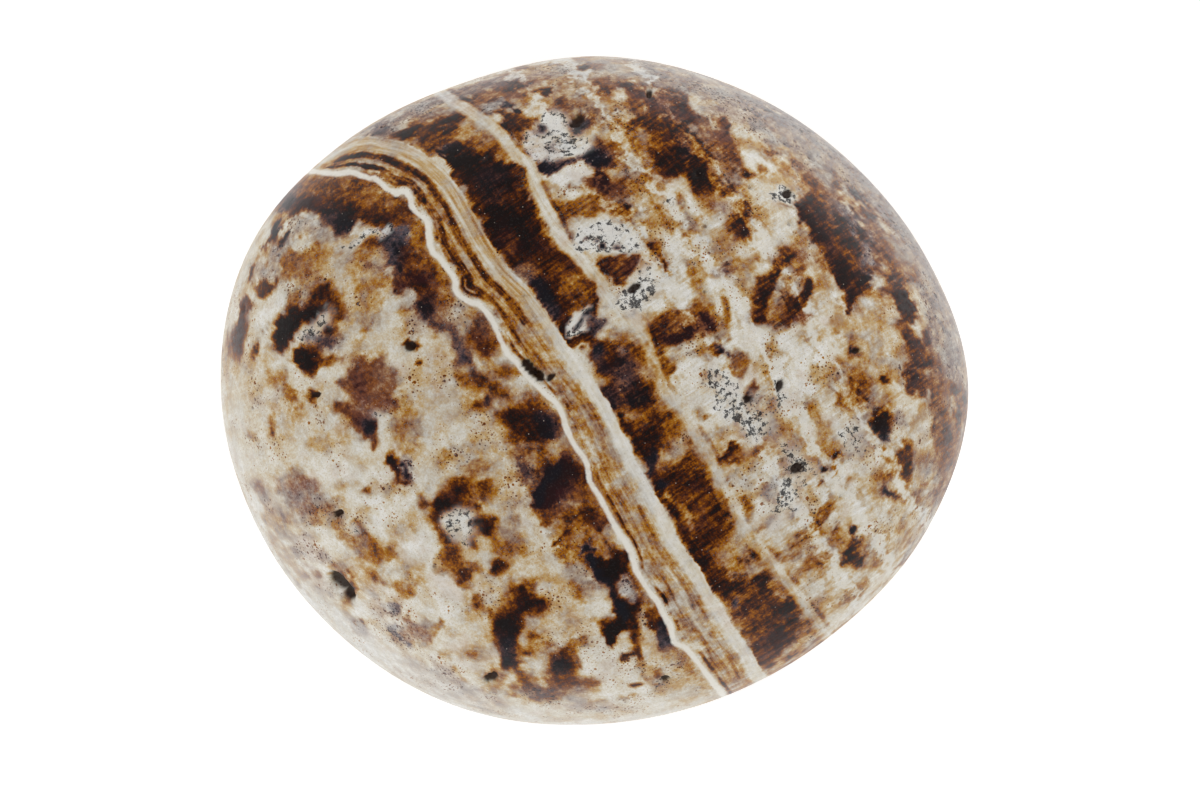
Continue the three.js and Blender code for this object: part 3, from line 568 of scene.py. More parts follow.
RIGHT = [
    Streak("amber", 0.35, 12, 15.9, 12.8, 15.5, 13.4, 14.9, 13.9, 14.4, 14.4, 13.8, 14.7, 13.1),
    Body("grey", 13, 16.2, 14.4, 16, 15.2, 14.8, 14.4, 14.6, 13.4, 15.3, cover=0.5, soft=0.5),
    Body("plum", 14.7, 14.2, 15.7, 13.9, 16.6, 12.6, 15.8, 12.3, 14.9, 13, cover=0.5, soft=0.4),
    Streak("ivory", 0.3, 13.2, 12, 14.2, 10.3, 15, 8.9, 15.8, 7.4, 16.2, 6),
    Body("dusk", 13.5, 12.2, 14, 11.4, 14.6, 10.5, 15, 10, 15.3, 9.4, 15.6, 8.9, 16, 8.3, 16.3, 7.7,
        16.4, 7.1, 16.6, 6.5, 16.8, 5.9, 16.9, 5.2, 17.1, 5, 17.4, 5.5, 17.5, 6, 17.7, 6.4, 18.2, 6.7,
        18.4, 7.2, 18.1, 7.7, 17.6, 8.1, 17.2, 8.7, 16.8, 9.3, 16.4, 9.9, 16.1, 10.4, 15.8, 11,
        15.5, 11.5, 15.1, 12.1, 14.6, 12.6, 14, 12.9),
    Body("bistre", 14.2, 11.9, 15, 10.8, 15.8, 9.6, 16.4, 8.4, 16.8, 7.2, 17.3, 7, 17.2, 8, 16.4, 9.4,
        15.6, 10.8, 14.8, 12, cover=0.7),
    Body("haze", 15.5, 12.9, 16.4, 12.7, 17.5, 12.1, 18, 11.3, 18.7, 10.3, 19.1, 9.4, 19.3, 8.6, 19, 7.6,
        18.4, 7.3, 17.7, 8, 17.1, 8.8, 16.6, 9.6, 16, 10.5, 15.6, 11.4),
    Streak("ivory", 0.12, 16.3, 12, 17.1, 10.8, cover=0.7),
    Streak("ivory", 0.1, 17.4, 10.6, 18.2, 9.4, cover=0.7),
    Body("straw", 18.6, 10.2, 19.6, 10, 20.8, 8.6, 21.2, 6.8, 20, 6.6, 19.2, 7.6, cover=0.8, soft=0.4),
    Spot("chestnut", 21.4, 7.7, 0.25, 0.5, 20),
    Streak("lilac", 0.5, 19.3, 11.2, 20.6, 9.6, 21.8, 7.6, cover=0.5),
    Body("plum", 20.1, 6.3, 20.8, 6.4, 21.4, 5.8, 21.5, 5.3, 21.1, 5, 20.7, 5.3, 20.3, 5.7),
    Body("bistre", 20.8, 3.5, 20.8, 3.9, 21.4, 4.2, 21.6, 4, 21.3, 3.6, 21.1, 3.3),
    Body("russet", 20.6, 2.6, 21, 3.2, 21.6, 3.4, 22.2, 2.8, 22.4, 2.2, 22, 1.7, 21.4, 1.8, 20.9, 2.1),
    Spot("ivory", 21.6, 2.4, 0.25, 0.25),
    Body("russet", 20.6, 1.4, 21.1, 1.2, 21.9, 1.2, 22.1, 0.5, 22.2, -0.2, 21.8, -0.6, 21.5, 0, 21, 0.6),
    Body("ochre", 17.8, 3.6, 18.6, 3.2, 19.6, 3, 20.8, 2.9, 20.8, 2.2, 20.3, 1.5, 19.6, 1.3, 18.9, 1.7,
        18.3, 2.4),
    Spot("ink", 17.3, 2.7, 0.27, 0.2), Spot("russet", 17.4, 3.5, 0.25, 0.15),
    Spot("amber", 16.4, 3.85, 0.25, 0.18),
    Body("umber", 11.8, 8.3, 12.3, 9.2, 12.9, 9.6, 13.3, 9.1, 13, 8.7, 12.7, 8.3, 12.3, 8, 12, 7.6),
    Body("umber", 12.7, 6.9, 13.1, 7.6, 13.6, 8.2, 13.9, 8.5, 13.8, 8, 13.3, 7.3, 12.9, 6.7),
    Body("umber", 13, 5.8, 13.2, 6.3, 13.7, 6.6, 14.4, 6.9, 14.2, 6.2, 13.7, 5.9, 13.3, 5.6),
    Body("amber", 12.3, 9.8, 13.2, 9.7, 13.7, 8.9, 14.1, 8.6, 14, 7.8, 14.6, 7, 14.5, 6, 13.3, 5.4,
        12.6, 6.6, 12, 7.4, 11.6, 8.4, cover=0.45),
    Body("plum", 13.3, 4.7, 13.6, 5.3, 14.2, 5.2, 14.7, 5, 14.3, 4.6, 13.8, 4.3),
    Body("dusk", 10.7, 6.6, 11, 7.4, 11.5, 7.5, 11.9, 7, 12, 6.3, 11.5, 5.9, 11.1, 5.5, 10.8, 5.8),
    Streak("ivory", 0.2, 11.6, 6, 12.9, 6.9),
    Body("russet", 10.4, 4.9, 10.7, 5.7, 11.5, 5.2, 12.5, 5.6, 13.1, 5.9, 12.9, 5.2, 12.3, 4.5, 12, 4.1,
        11.7, 4.6, 11, 4.7),
    Spot("straw", 14, 3.6, 0.45, 0.5), Body("grey", 13.9, 9.3, 15, 9, 15.2, 8.1, 14.2, 8.2, cover=0.5),
    Body("amber", 17, 1, 17.6, 2, 18, 2.3, 17.8, 1.6, 18.4, 0.9, 18.9, 0.9, 18.6, 0.1, 18.2, -0.5,
        17.9, -1.1, 17.3, -1.6, 16.8, -1.4, 17, -0.9, 16.3, -0.9, 16.4, -0.3, 16.6, 0.4),
    Body("chestnut", 17.2, 0.6, 17.9, 0.8, 18.3, 0, 17.8, -0.9, 17.3, -0.8, 17.2, 0),
    Spot("umber", 19.4, 0.85, 0.12, 0.22),
    Body("umber", 18.4, -2.2, 18.7, -1.5, 19.2, -1.2, 19.9, -1.4, 20, -2, 19.8, -2.6, 19.3, -2.9,
        18.8, -2.8),
    Spot("ink", 19.5, -2.6, 0.3, 0.18), Spot("grey", 20.3, -1.8, 0.3, 0.7),
    Spot("slate", 19.4, -3.3, 0.4, 0.3),
    Body("chestnut", 20.6, -3.3, 21.1, -3.2, 21.3, -3.8, 21.2, -4.5, 21.1, -5.2, 20.9, -5.9, 20.4, -6,
        20.2, -5.4, 20.1, -4.7, 20.2, -4.1, 20.5, -3.7),
    Body("ochre", 20.4, -6.1, 21.6, -6.2, 21.9, -7, 20.9, -7.4),
    Spot("chestnut", 19.4, -5.9, 0.5, 0.3, 20), Spot("ochre", 18.6, -6.5, 0.35, 0.35),
    Spot("ink", 19.5, -6.75, 0.25, 0.12), Spot("ink", 20.1, -7.05, 0.12, 0.1),
    Body("russet", 22.6, 0.6, 23.4, 0.9, 24.3, 0.5, 24.9, -0.5, 24.8, -2.5, 24.5, -3.8, 24, -5,
        23.5, -6.8, 22.8, -6.9, 22.8, -3, 22.5, -1.5, cover=0.75),
    Spot("ivory", 24, -1.2, 0.25, 0.55), Spot("umber", 24.15, -1.7, 0.1, 0.2),
    Streak("straw", 0.3, 17.8, -4.2, 18.2, -6),
    Streak("straw", 0.3, 14.5, -1, 15, -1.8, 15.4, -2.6, 15.7, -3.3, 16.3, -3.9),
]
MIDDLE = [
    Body("chalk", -1.4, 9.9, -1, 10.6, -0.3, 11.1, 0.6, 11.5, 1.5, 11.3, 2.3, 10.8, 2.9, 10.2, 3.1, 9.5,
        2.9, 9.1, 1.8, 9.2, 0, 9.2, -0.8, 9.2, cover=0.8),
    Streak("ink", 0.2, -0.5, 10.15, 0.1, 10.05), Spot("ink", 1.6, 9.55, 0.2, 0.12),
    Spot("ink", 0.5, 9.6, 0.12, 0.08),
    Body("russet", 0.9, 9, 1.9, 9.1, 2.9, 9.1, 2.8, 8.6, 2.5, 8.1, 2, 7.6, 1.9, 7.1, 1.3, 7, 1, 7.3,
        0.6, 7.7, 0.2, 8.2, 0, 8.6),
    Body("plum", 1, 8.9, 2.6, 8.9, 2.4, 8.2, 1.6, 8, cover=0.7),
    Streak("amber", 0.4, 2, 11.4, 2.6, 11.1, 3.1, 10.6, 3.6, 10, 4.2, 9.4),
    Spot("chestnut", 3.9, 9.6, 0.4, 0.25, -40),
    Body("chestnut", 4.4, 8.9, 4.9, 8.8, 5.3, 8.3, 5.2, 7.8, 4.8, 8, 4.4, 8.5),
    Body("amber", 5.9, 11.3, 6.2, 11.1, 6.4, 10.5, 6.8, 10.1, 6.4, 10, 6, 10.6),
    Spot("straw", 7.4, 10.7, 0.5, 0.5),
    Streak("amber", 0.25, 7.3, 9.6, 7.9, 9.3, 8.3, 8.8, 8.8, 8.4, 9.2, 8.3, 9.7, 8.1),
    Body("amber", 9.6, 8.2, 10.2, 8.1, 10.6, 7.9, 10.4, 7.4, 10.1, 7.2, 9.8, 7.6),
    Spot("ink", 8.6, 8, 0.2, 0.12),
    Body("lilac", 8.1, 10.3, 9.6, 9.8, 10.8, 9, 10.4, 8.4, 8.8, 9.2, cover=0.35, soft=0.5),
    Streak("ink", 0.25, 1.7, 6.35, 2.4, 6.75, 3.1, 7), Spot("ink", 2.8, 6.3, 0.3, 0.28),
    Spot("ink", 3.15, 6, 0.3, 0.12), Spot("ink", 2.2, 6, 0.2, 0.12), Spot("ink", 3.2, 6.4, 0.15, 0.2),
    Streak("ink", 0.16, 3, 5.9, 2.7, 5.3, 2.4, 5.1), Spot("ink", 0.7, 5.75, 0.35, 0.13),
    Spot("slate", 0.6, 5.2, 0.3, 0.12), Spot("ink", 1.3, 5.6, 0.12, 0.1),
    Spot("ink", 3.3, 7.8, 0.25, 0.1), Spot("ink", 3.6, 7.3, 0.14, 0.1), Spot("ink", 2.8, 7.5, 0.12, 0.12),
    Spot("chalk", -0.9, 4.5, 0.5, 0.9, -35), Streak("ink", 0.3, -1.2, 4.1, -0.95, 4.3, -0.7, 4.6),
    Spot("ink", -0.3, 5.1, 0.25, 0.08, 30),
    Body("slate", -0.5, 4.4, 0.1, 4.9, 0.9, 4.9, 1.3, 4.6, 0.9, 4, 0.2, 3.6, -0.3, 3.7, cover=0.8),
    Body("amber", 0.9, 4.1, 1.6, 4.3, 2.3, 4.2, 2.6, 3.6, 2.1, 3.3, 1.3, 3.3, 0.7, 3.5),
    Body("amber", 3.4, 4.8, 5.6, 5.3, 6.4, 5.7, 7.3, 6.6, 7.9, 5.8, 8.3, 4.8, 8.5, 3.5, 7.9, 2.4, 7, 3.2,
        5.6, 2.8, 5, 3.2, 4, 3.7, cover=0.8),
    Body("russet", 3.6, 4.6, 5.6, 5.1, 6.4, 5.5, 6.9, 6, 7.3, 6.4, 7.6, 5.9, 7.9, 5.4, 8.2, 4.7,
        8.3, 4.1, 7.8, 3.85, 7, 3.6, 6.2, 3.2, 5.5, 2.9, 5, 3.1, 4.3, 3.6),
    Body("dusk", 6.9, 4.4, 7.5, 5.5, 7.9, 5.4, 8.2, 4.7, 8.3, 4.1, 7.6, 3.9, 6.4, 3.3, 5.4, 3.1,
        4.8, 3.6, 6, 4),
    Streak("chestnut", 0.5, 3.7, 4.1, 4.2, 3.2, 4.5, 2.3, 4.8, 1.4, 5.1, 1.9),
    Streak("ivory", 0.2, 5, 2.9, 6.2, 3, 7.3, 3.3), Spot("ivory", 7.4, 3.3, 0.4, 0.2),
    Spot("umber", 8.1, 2.7, 0.25, 0.3), Streak("amber", 0.15, 4.9, 1.9, 6.2, 2.2, 7.6, 2.9),
    Streak("slate", 0.12, 8.3, 2.9, 8.9, 2.3), Streak("amber", 0.12, 8.5, 6.8, 8.9, 5.8, 8.8, 4.6),
    Body("amber", 9, 0.9, 9.1, 1.8, 9.5, 2.4, 10.2, 2.4, 10.1, 1.5, 9.7, 0.8),
    Spot("umber", 10.4, 3.1, 0.15, 0.1), Spot("umber", 11.7, 2.3, 0.3, 0.2),
    Spot("straw", 11.8, 2.6, 0.5, 1),
    Body("chalk", 7.8, 1.6, 9, 1.2, 9.6, 0.2, 10.6, -1, 11.2, -2.6, 10.4, -3.4, 9.4, -3, 8.8, -1.6,
        8, -0.4, 7.2, 0.6, cover=0.5, soft=0.5),
    Spot("ink", 8.2, 0.3, 0.25, 0.12), Spot("ink", 8.5, 0.7, 0.12, 0.16),
    Spot("ink", 8.9, -0.4, 0.35, 0.18), Spot("ink", 9.6, -0.7, 0.14, 0.3),
    Streak("ink", 0.16, 9.8, -1, 10.2, -1.5), Spot("ink", 10.3, -1.8, 0.25, 0.22),
    Spot("ink", 10.2, -2.3, 0.28, 0.16), Spot("ink", 10.1, -2.9, 0.2, 0.13),
    Spot("ink", 10.9, -2.7, 0.22, 0.16), Spot("ink", 9.2, -1.2, 0.14, 0.1),
    Spot("ink", 9.7, -2.5, 0.12, 0.1), Spot("chestnut", 7.2, -1.6, 0.3, 0.2),
    Streak("bistre", 0.3, 12.4, 0.3, 12.1, -0.2, 11.9, -0.7, 11.6, -1.1, 11.9, -1.5),
    Spot("bistre", 12.3, 0.1, 0.22, 0.4),
    Body("plum", 10.2, 0, 10.5, 0.8, 10.9, 0.3, 11, -0.3, 10.6, -0.8, 10.2, -0.8),
    Spot("straw", 11.4, 0.3, 0.35, 0.6),
]
BESIDE_CREAM = [
    Body("chestnut", 0.5, 0.5, 3.8, 0.3, 4, -0.9, 5, -1.3, 5.4, -2.1, 5.7, -2.8, 5, -3.6, 4.4, -4.1,
        4.3, -4.9, 5, -5.2, 5.6, -4.8, 6.1, -4.2, 6.7, -3.5, 7, -4.6, 7.5, -5.6, 8.1, -6.5, 8.5, -7.4,
        9, -8.2, 9.4, -9.4, 9, -10.4, 8.4, -11.2, 8.6, -12.4, 7.4, -12.8, 6.2, -10.6, 5.2, -8.8, 4.2, -7,
        3.3, -5.4, 2.3, -3.4, 1.4, -1.6),
    Body("amber", 2.9, -2.2, 4.2, -1.4, 5, -1.6, 5.2, -2.6, 4.4, -3.4, 3.4, -3.6, cover=0.4),
    Streak("umber", 0.45, 1.1, -0.1, 1.8, -1.3, 2.3, -2.5, 2.9, -3.7, 3.6, -4.9, 4.3, -6.3, 5.2, -7.8,
        5.9, -9.2, 6.6, -10.4, 7.2, -11.6),
    Body("ink", 0.6, 0.4, 1.8, 0.3, 1.7, -0.8, 1.2, -1.1, 0.9, -0.4), Spot("slate", 2.8, -0.2, 0.8, 0.5),
    Spot("ink", 3.7, -4.8, 0.35, 0.8, -15),
    Body("straw", 1.9, -0.9, 2.4, -1.2, 3.2, -1.5, 2.9, -1.9, 2.2, -2),
    Body("ivory", 4.4, -4.2, 5.2, -3.8, 6, -3.6, 5.7, -4.4, 5.1, -4.9, 4.4, -4.8),
    Streak("umber", 0.35, 5.2, -5.9, 5.6, -5.2, 6.1, -4.6),
    Streak("umber", 0.3, 5.9, -7.2, 6.8, -6.5, 7.3, -5.8),
    Streak("umber", 0.35, 6.2, -8, 7.2, -7.2, 7.8, -6.5),
    Streak("umber", 0.4, 6.6, -8.8, 7.4, -8.4, 8.2, -7.6),
    Body("umber", 6.6, -9.2, 7.8, -8.8, 8.6, -8.4, 9.2, -9.2, 8.4, -9.9, 7.6, -10.4, 7, -10.2),
    Spot("ink", 4.8, -6.2, 0.3, 0.2), Streak("straw", 0.14, 5, -7, 5.7, -7.6, 6.2, -8.6, 6.6, -9.6),
    Streak("ochre", 0.3, 6.8, -3.7, 7.1, -4.8, 7.6, -5.6, 8.2, -6.6, 8.6, -7.5, 9.1, -8.3, 9.4, -9.2,
        cover=0.6),
    Body("straw", 8.2, -10.6, 9.4, -9.9, 10.4, -11.4, 11, -13, 10, -13.6, 9, -12.4, cover=0.8, soft=0.5),
    Streak("chestnut", 0.18, 7.4, -2.9, 7.9, -3.9, 8.3, -4.5, 8.7, -5.4, 9.1, -6.2, 9.7, -7.1, 10.1, -8,
        10.2, -8.5),
    Body("russet", 8.2, -4.5, 8.9, -4, 9.4, -3.4, 9.9, -3.8, 10.6, -3.9, 11.3, -3.5, 11.9, -2.6,
        12.3, -2, 12.7, -2.8, 12.5, -3.5, 11.8, -3.9, 11, -4.3, 10.2, -4.8, 9.4, -5.2, 9.1, -6, 8.7, -5.4),
    Spot("plum", 12.2, -3.2, 0.4, 0.5), Spot("umber", 9.3, -3.8, 0.4, 0.3),
    Body("ochre", 9.3, -5.2, 10.6, -4.6, 12, -4.2, 11.6, -4.8, 10.8, -5.4, 10.6, -6.6, 10, -7, 9.4, -6.2,
        cover=0.6),
    Body("ochre", 7.5, -2.6, 8.2, -2.7, 8.8, -2.6, 8.8, -3.1, 8.2, -3.8, 7.8, -3.6, cover=0.8),
    Body("chestnut", 9.7, -7, 10.2, -7.2, 10.4, -7.9, 10.2, -8.5, 10, -7.9),
    Body("grey", 11.3, -6.4, 12.4, -5.4, 13.6, -5, 14, -6, 13.2, -7.4, 12, -8.2, 11.3, -7.6, cover=0.6),
    Streak("ink", 0.35, 13, -7, 12.3, -7.4, 12.1, -8, 11.8, -8.5),
    Streak("umber", 0.14, 11.8, -8.5, 11.2, -9.3, 10.4, -10), Spot("ink", 11.6, -6.6, 0.15, 0.1),
    Spot("ink", 11.5, -7, 0.2, 0.1), Spot("ink", 11.8, -7.3, 0.12, 0.12),
    Spot("ink", 12.2, -6.3, 0.1, 0.25), Spot("ink", 12.8, -6.5, 0.2, 0.08),
    Spot("ink", 12.4, -6.9, 0.12, 0.1), Spot("straw", 10.3, -10.4, 0.9, 0.6, -45, cover=0.8),
]
UPPER_LEFT_CORNER = [
    Body("amber", -20.4, 13.5, -19.4, 14.1, -18.4, 14.3, -17, 14.2, -16, 14.3, -15.3, 13.9, -14.3, 13.6,
        -13.5, 13, -12.7, 13, -12.4, 12.4, -12, 11.6, -12.6, 11, -13.6, 11, -15, 11.6, -16.2, 12.2,
        -17.5, 12.6, -18.6, 12.5, -19.4, 12.2, -20.3, 11.8, -20.9, 11.6, -21.4, 12.2, -20.8, 13),
    Body("chestnut", -20.3, 13.2, -18.8, 13.7, -17.4, 13.7, -16.2, 13.6, -15.6, 13, -16.8, 12.7,
        -18.2, 12.7, -19.4, 12.4, -20.6, 12, -21, 12.4),
    Body("plum", -20.6, 12.6, -19.4, 13, -18, 12.9, -18.2, 12.5, -19.4, 12.2, -20.4, 11.8, cover=0.8),
    Body("haze", -21.5, 12, -20.9, 13, -20, 13.8, -19.8, 13.2, -20.5, 12.2, -21, 11.5),
    Body("umber", -15.8, 13.4, -15, 13.2, -14.2, 12.7, -13.4, 12.2, -12.7, 11.9, -12.6, 11, -13.6, 10.9,
        -14.8, 11.4, -15.6, 11.6, -16.5, 12.4),
    Body("bistre", -16.3, 12.5, -15.6, 12.8, -15, 12.5, -14, 12, -13.2, 11.4, -13.8, 11.1, -14.8, 11.5,
        -15.5, 11.3, -16, 11.9),
    Body("umber", -17.4, 12.2, -16.6, 12.4, -15.9, 12, -15.7, 11.3, -16.4, 10.9, -17.2, 11.2, cover=0.8),
    Body("straw", -16, 11.7, -15.5, 11.9, -15, 11.1, -15.6, 10.7),
    Streak("ivory", 0.12, -18.8, 13.3, -17.9, 13.55), Streak("straw", 0.16, -16.3, 12.6, -15.7, 13.1),
    Body("ochre", -21.3, 12, -20.7, 11.8, -20.9, 11.2, -21.4, 11.4),
    Body("haze", -17, 16.7, -15, 17.8, -12, 19.1, -9.5, 20.2, -9.4, 19.4, -11.6, 18.3, -13.6, 17.3,
        -15.4, 17, cover=0.6),
    Streak("ochre", 0.3, -17.2, 15.9, -16, 16.25, -15.2, 16.2, cover=0.6),
]
BOTTOM_LEFT = [
    Body("amber", -10.2, -10.9, -9.3, -10.8, -8.7, -11.1, -7.9, -11.5, -7.7, -12, -8.3, -12.3,
        -8.5, -12.6, -8.4, -13.3, -8.9, -13.1, -9.5, -12.4, -9.9, -11.8),
    Body("chestnut", -10, -11, -9.4, -11, -9, -11.6, -8.7, -12.4, -8.6, -13, -9.1, -12.8, -9.6, -12),
    Spot("amber", -6.4, -11.8, 0.7, 0.55), Spot("chestnut", -6.4, -11.8, 0.4, 0.35),
    Body("ochre", -13.4, -12.8, -12.2, -12.5, -11.6, -12.2, -11.4, -12.7, -11.9, -13.2, -12.3, -13.9,
        -13.2, -14),
    Body("rose", -12.8, -15.3, -11.9, -15.4, -11.2, -15.2, -10.7, -15.3, -10.3, -15.8, -10.5, -16.3,
        -10.8, -16.8, -11.6, -17.2, -12, -17, -12.6, -16.6, -12.9, -16),
    Body("amber", -11.4, -15.2, -10.8, -15.2, -10.2, -15.8, -10.5, -16.4, -11, -15.9),
    Spot("ochre", -11.6, -17.1, 0.5, 0.35),
    Body("ochre", -10.9, -17.3, -10.2, -17.4, -9.7, -17.8, -10.5, -17.9, cover=0.8),
    Spot("straw", -8.4, -17.6, 0.7, 0.4), Spot("ochre", -8.5, -14.1, 0.22, 0.4),
    Spot("straw", -8.5, -15.5, 0.5, 0.3), Spot("straw", -9.4, -16.3, 0.3, 0.3),
    Spot("umber", -7.8, -13.95, 0.1, 0.1), Spot("umber", -7.9, -14.35, 0.14, 0.1),
    Spot("umber", -8.2, -17.55, 0.15, 0.1),
    Body("straw", -3.9, -13, -2.6, -12.6, -1, -12, -0.6, -14, -0.8, -16.2, -2.4, -16.4, -3.6, -15.6,
        soft=0.6, cover=0.8),
    Body("amber", -7.2, -14.9, -6.3, -14.7, -6.2, -14.1, -5.9, -13.3, -5.5, -12.6, -5.2, -12.8,
        -4.6, -12.7, -3.9, -12.8, -3.7, -13.6, -3.3, -14, -3.3, -14.8, -3.7, -15.2, -4.2, -15.7,
        -4.8, -16, -5.8, -16.2, -6.9, -15.8),
    Body("umber", -6.8, -15.1, -6, -14.8, -5.4, -14.3, -5.4, -13.4, -4.6, -13.2, -4.1, -13.8,
        -3.6, -14.2, -3.8, -14.9, -4.4, -15.5, -5, -16, -5, -16.8, -5.3, -17.4, -5, -18, -5.1, -18.5,
        -5.6, -18.8, -6, -18.3, -6.1, -17.6, -6.6, -16.9, -6.8, -16),
    Body("bistre", -6.6, -15.5, -6, -15.2, -5.6, -15.9, -5, -15.8, -5.2, -16.6, -5.6, -17.4, -6.1, -17.3,
        -6.6, -16.4),
    Body("ink", -6.3, -16.3, -5.7, -16.3, -5.4, -17.2, -5.2, -18, -5.4, -18.6, -5.8, -18, -6.1, -17.2),
    Streak("bistre", 0.4, -4.9, -14.6, -4.3, -14.3, -3.8, -14.2),
    Streak("ivory", 0.1, -4.4, -15.2, -3.9, -15.8),
    Body("ochre", -5, -16.2, -4, -15.9, -3.4, -16.2, -3.2, -17.2, -2.8, -17.8, -3.6, -18.1, -4.5, -18,
        -5, -17.2),
    Spot("chestnut", -4.1, -16.4, 0.3, 0.2), Spot("umber", -4.8, -17.2, 0.4, 0.2),
    Spot("ochre", -2.8, -16.9, 0.5, 0.35),
    Body("amber", -2.6, -17.5, -2.2, -17, -1.6, -16.5, -0.9, -16.2, -0.7, -16.8, -1.2, -17.4, -1, -17.9,
        -0.8, -18.4, -1.2, -18.8, -1.9, -18.6, -2.2, -18),
    Body("umber", -3.1, -18.1, -2.6, -17.7, -2.1, -17.2, -1.7, -17.3, -1.6, -18, -1.3, -18.5,
        -1.8, -18.9, -2.5, -18.9, -2.9, -18.6),
    Body("ink", -2.8, -18, -2.1, -17.8, -2, -18.4, -2.6, -18.7, cover=0.8),
    Spot("ivory", -4, -18.5, 0.8, 0.35),
    Body("chestnut", -5.2, -18.5, -4.6, -18.9, -4.3, -19.5, -3.4, -19.9, -2.4, -19.8, -2.2, -19.3,
        -1.6, -19, -0.8, -19.2, 0, -19.2, 0.7, -19.4, 0.2, -19.9, -0.8, -20, -1.6, -20.3, -2.6, -20.5,
        -3.6, -20.7, -4.4, -20.2, -4.8, -19.5, cover=0.9),
    Spot("slate", -3.8, -20.2, 0.6, 0.35), Spot("plum", -1.8, -19.5, 0.7, 0.3),
    Spot("haze", -2.6, -20.2, 0.8, 0.25), Spot("amber", -0.2, -19.6, 0.7, 0.2),
    Body("lilac", -2, -20.4, -0.9, -20.3, -0.5, -20.9, -1.5, -21.1),
    Body("lilac", -11.1, -18.3, -10.2, -18.4, -9.4, -18.9, -8.6, -19.7, -7.8, -20.2, -7.2, -20.8,
        -7.6, -21, -8.4, -20.6, -9.4, -20.4, -10, -19.7, -10.7, -19),
    Streak("slate", 0.4, -10.8, -18.7, -9.8, -19.3, -9, -20, cover=0.6),
    Streak("ochre", 0.4, -9.4, -18.9, -8.6, -19.5),
    Streak("ochre", 0.3, -8.2, -20.4, -7.4, -20.8, -6.3, -20.9),
    Body("lilac", -13.2, -18.3, -12.2, -18.6, -11, -19.3, -10.8, -19.8, -12, -19.3, cover=0.6),
    Spot("umber", -7.25, -19, 0.14, 0.1), Spot("chestnut", -6.5, -19.1, 0.4, 0.12),
    Spot("umber", -7.2, -19.8, 0.2, 0.1), Spot("umber", -5.4, -20.05, 0.15, 0.1),
    Streak("umber", 0.12, -6.8, -18.5, -6.4, -18.8),
]
GROUND = [
    Body("ivory", 3.8, 10, 9, 11, 13, 10, 15, 6, 16.5, 2, 17, -4, 16.8, -8.5, 14, -9, 11, -8, 9, -5,
        6.5, -1.5, 5.2, 1, 4.4, 4, 2, 6, 3, 9, cover=0.75, soft=0.8),
    Body("ivory", -12.4, -8.2, -10.2, -10.6, -11, -14, -9, -15.6, -7.2, -14.4, -8.2, -12.8, -10.4, -12.4,
        -12, -11, cover=0.6, soft=0.8),
    Body("ivory", -20.5, -5, -17, -4.6, -14.6, -4.4, -14, -7, -16, -7.6, -18, -6, -20, -4.8, cover=0.6,
        soft=0.8),
    Body("ivory", 0, -17.5, 2.6, -17.4, 3, -19.4, 4, -21.2, 0, -21.4, -4, -21, -3, -20, cover=0.6,
        soft=0.8),
    Body("straw", -12.5, 1.8, -9.5, 1.2, -9, -2.6, -11.6, -4.4, -14, -3.8, -13, -0.6, cover=0.6, soft=0.8),
]
# Painted light along the rims: grey haze as painted reflection on the upper left, top and right rims, and
# a darker painted shade (dusk) along the upper left rim.
RIM_REFLECTION_AND_SHADE = [
    Body("dusk", -15.2, 14.6, -12, 17.8, -8, 20.4, -4, 21.6, -3.6, 20.4, -7.6, 18.8, -11, 16.4,
        -13.4, 14.4, cover=0.6, soft=0.8),
    Body("haze", -22.6, 7.5, -20.6, 11, -17.6, 14, -16.6, 13.4, -19, 11, -21, 7.6, cover=0.6, soft=0.7),
    Body("haze", 12, 19.5, 16, 18.5, 20, 14.5, 23, 9.5, 25, 4, 25.4, -2, 24, -8, 22.6, -7, 23.2, -1,
        22, 5, 20.4, 9, 17, 13.4, 13, 16.6, 11, 17.4, cover=0.85, soft=1.2),
    Body("haze", -2, 21.8, 4, 22, 9, 20.6, 14, 18.2, 12, 16.6, 8, 18.8, 3, 20.4, -2, 20.4, cover=0.7,
        soft=0.9),
]
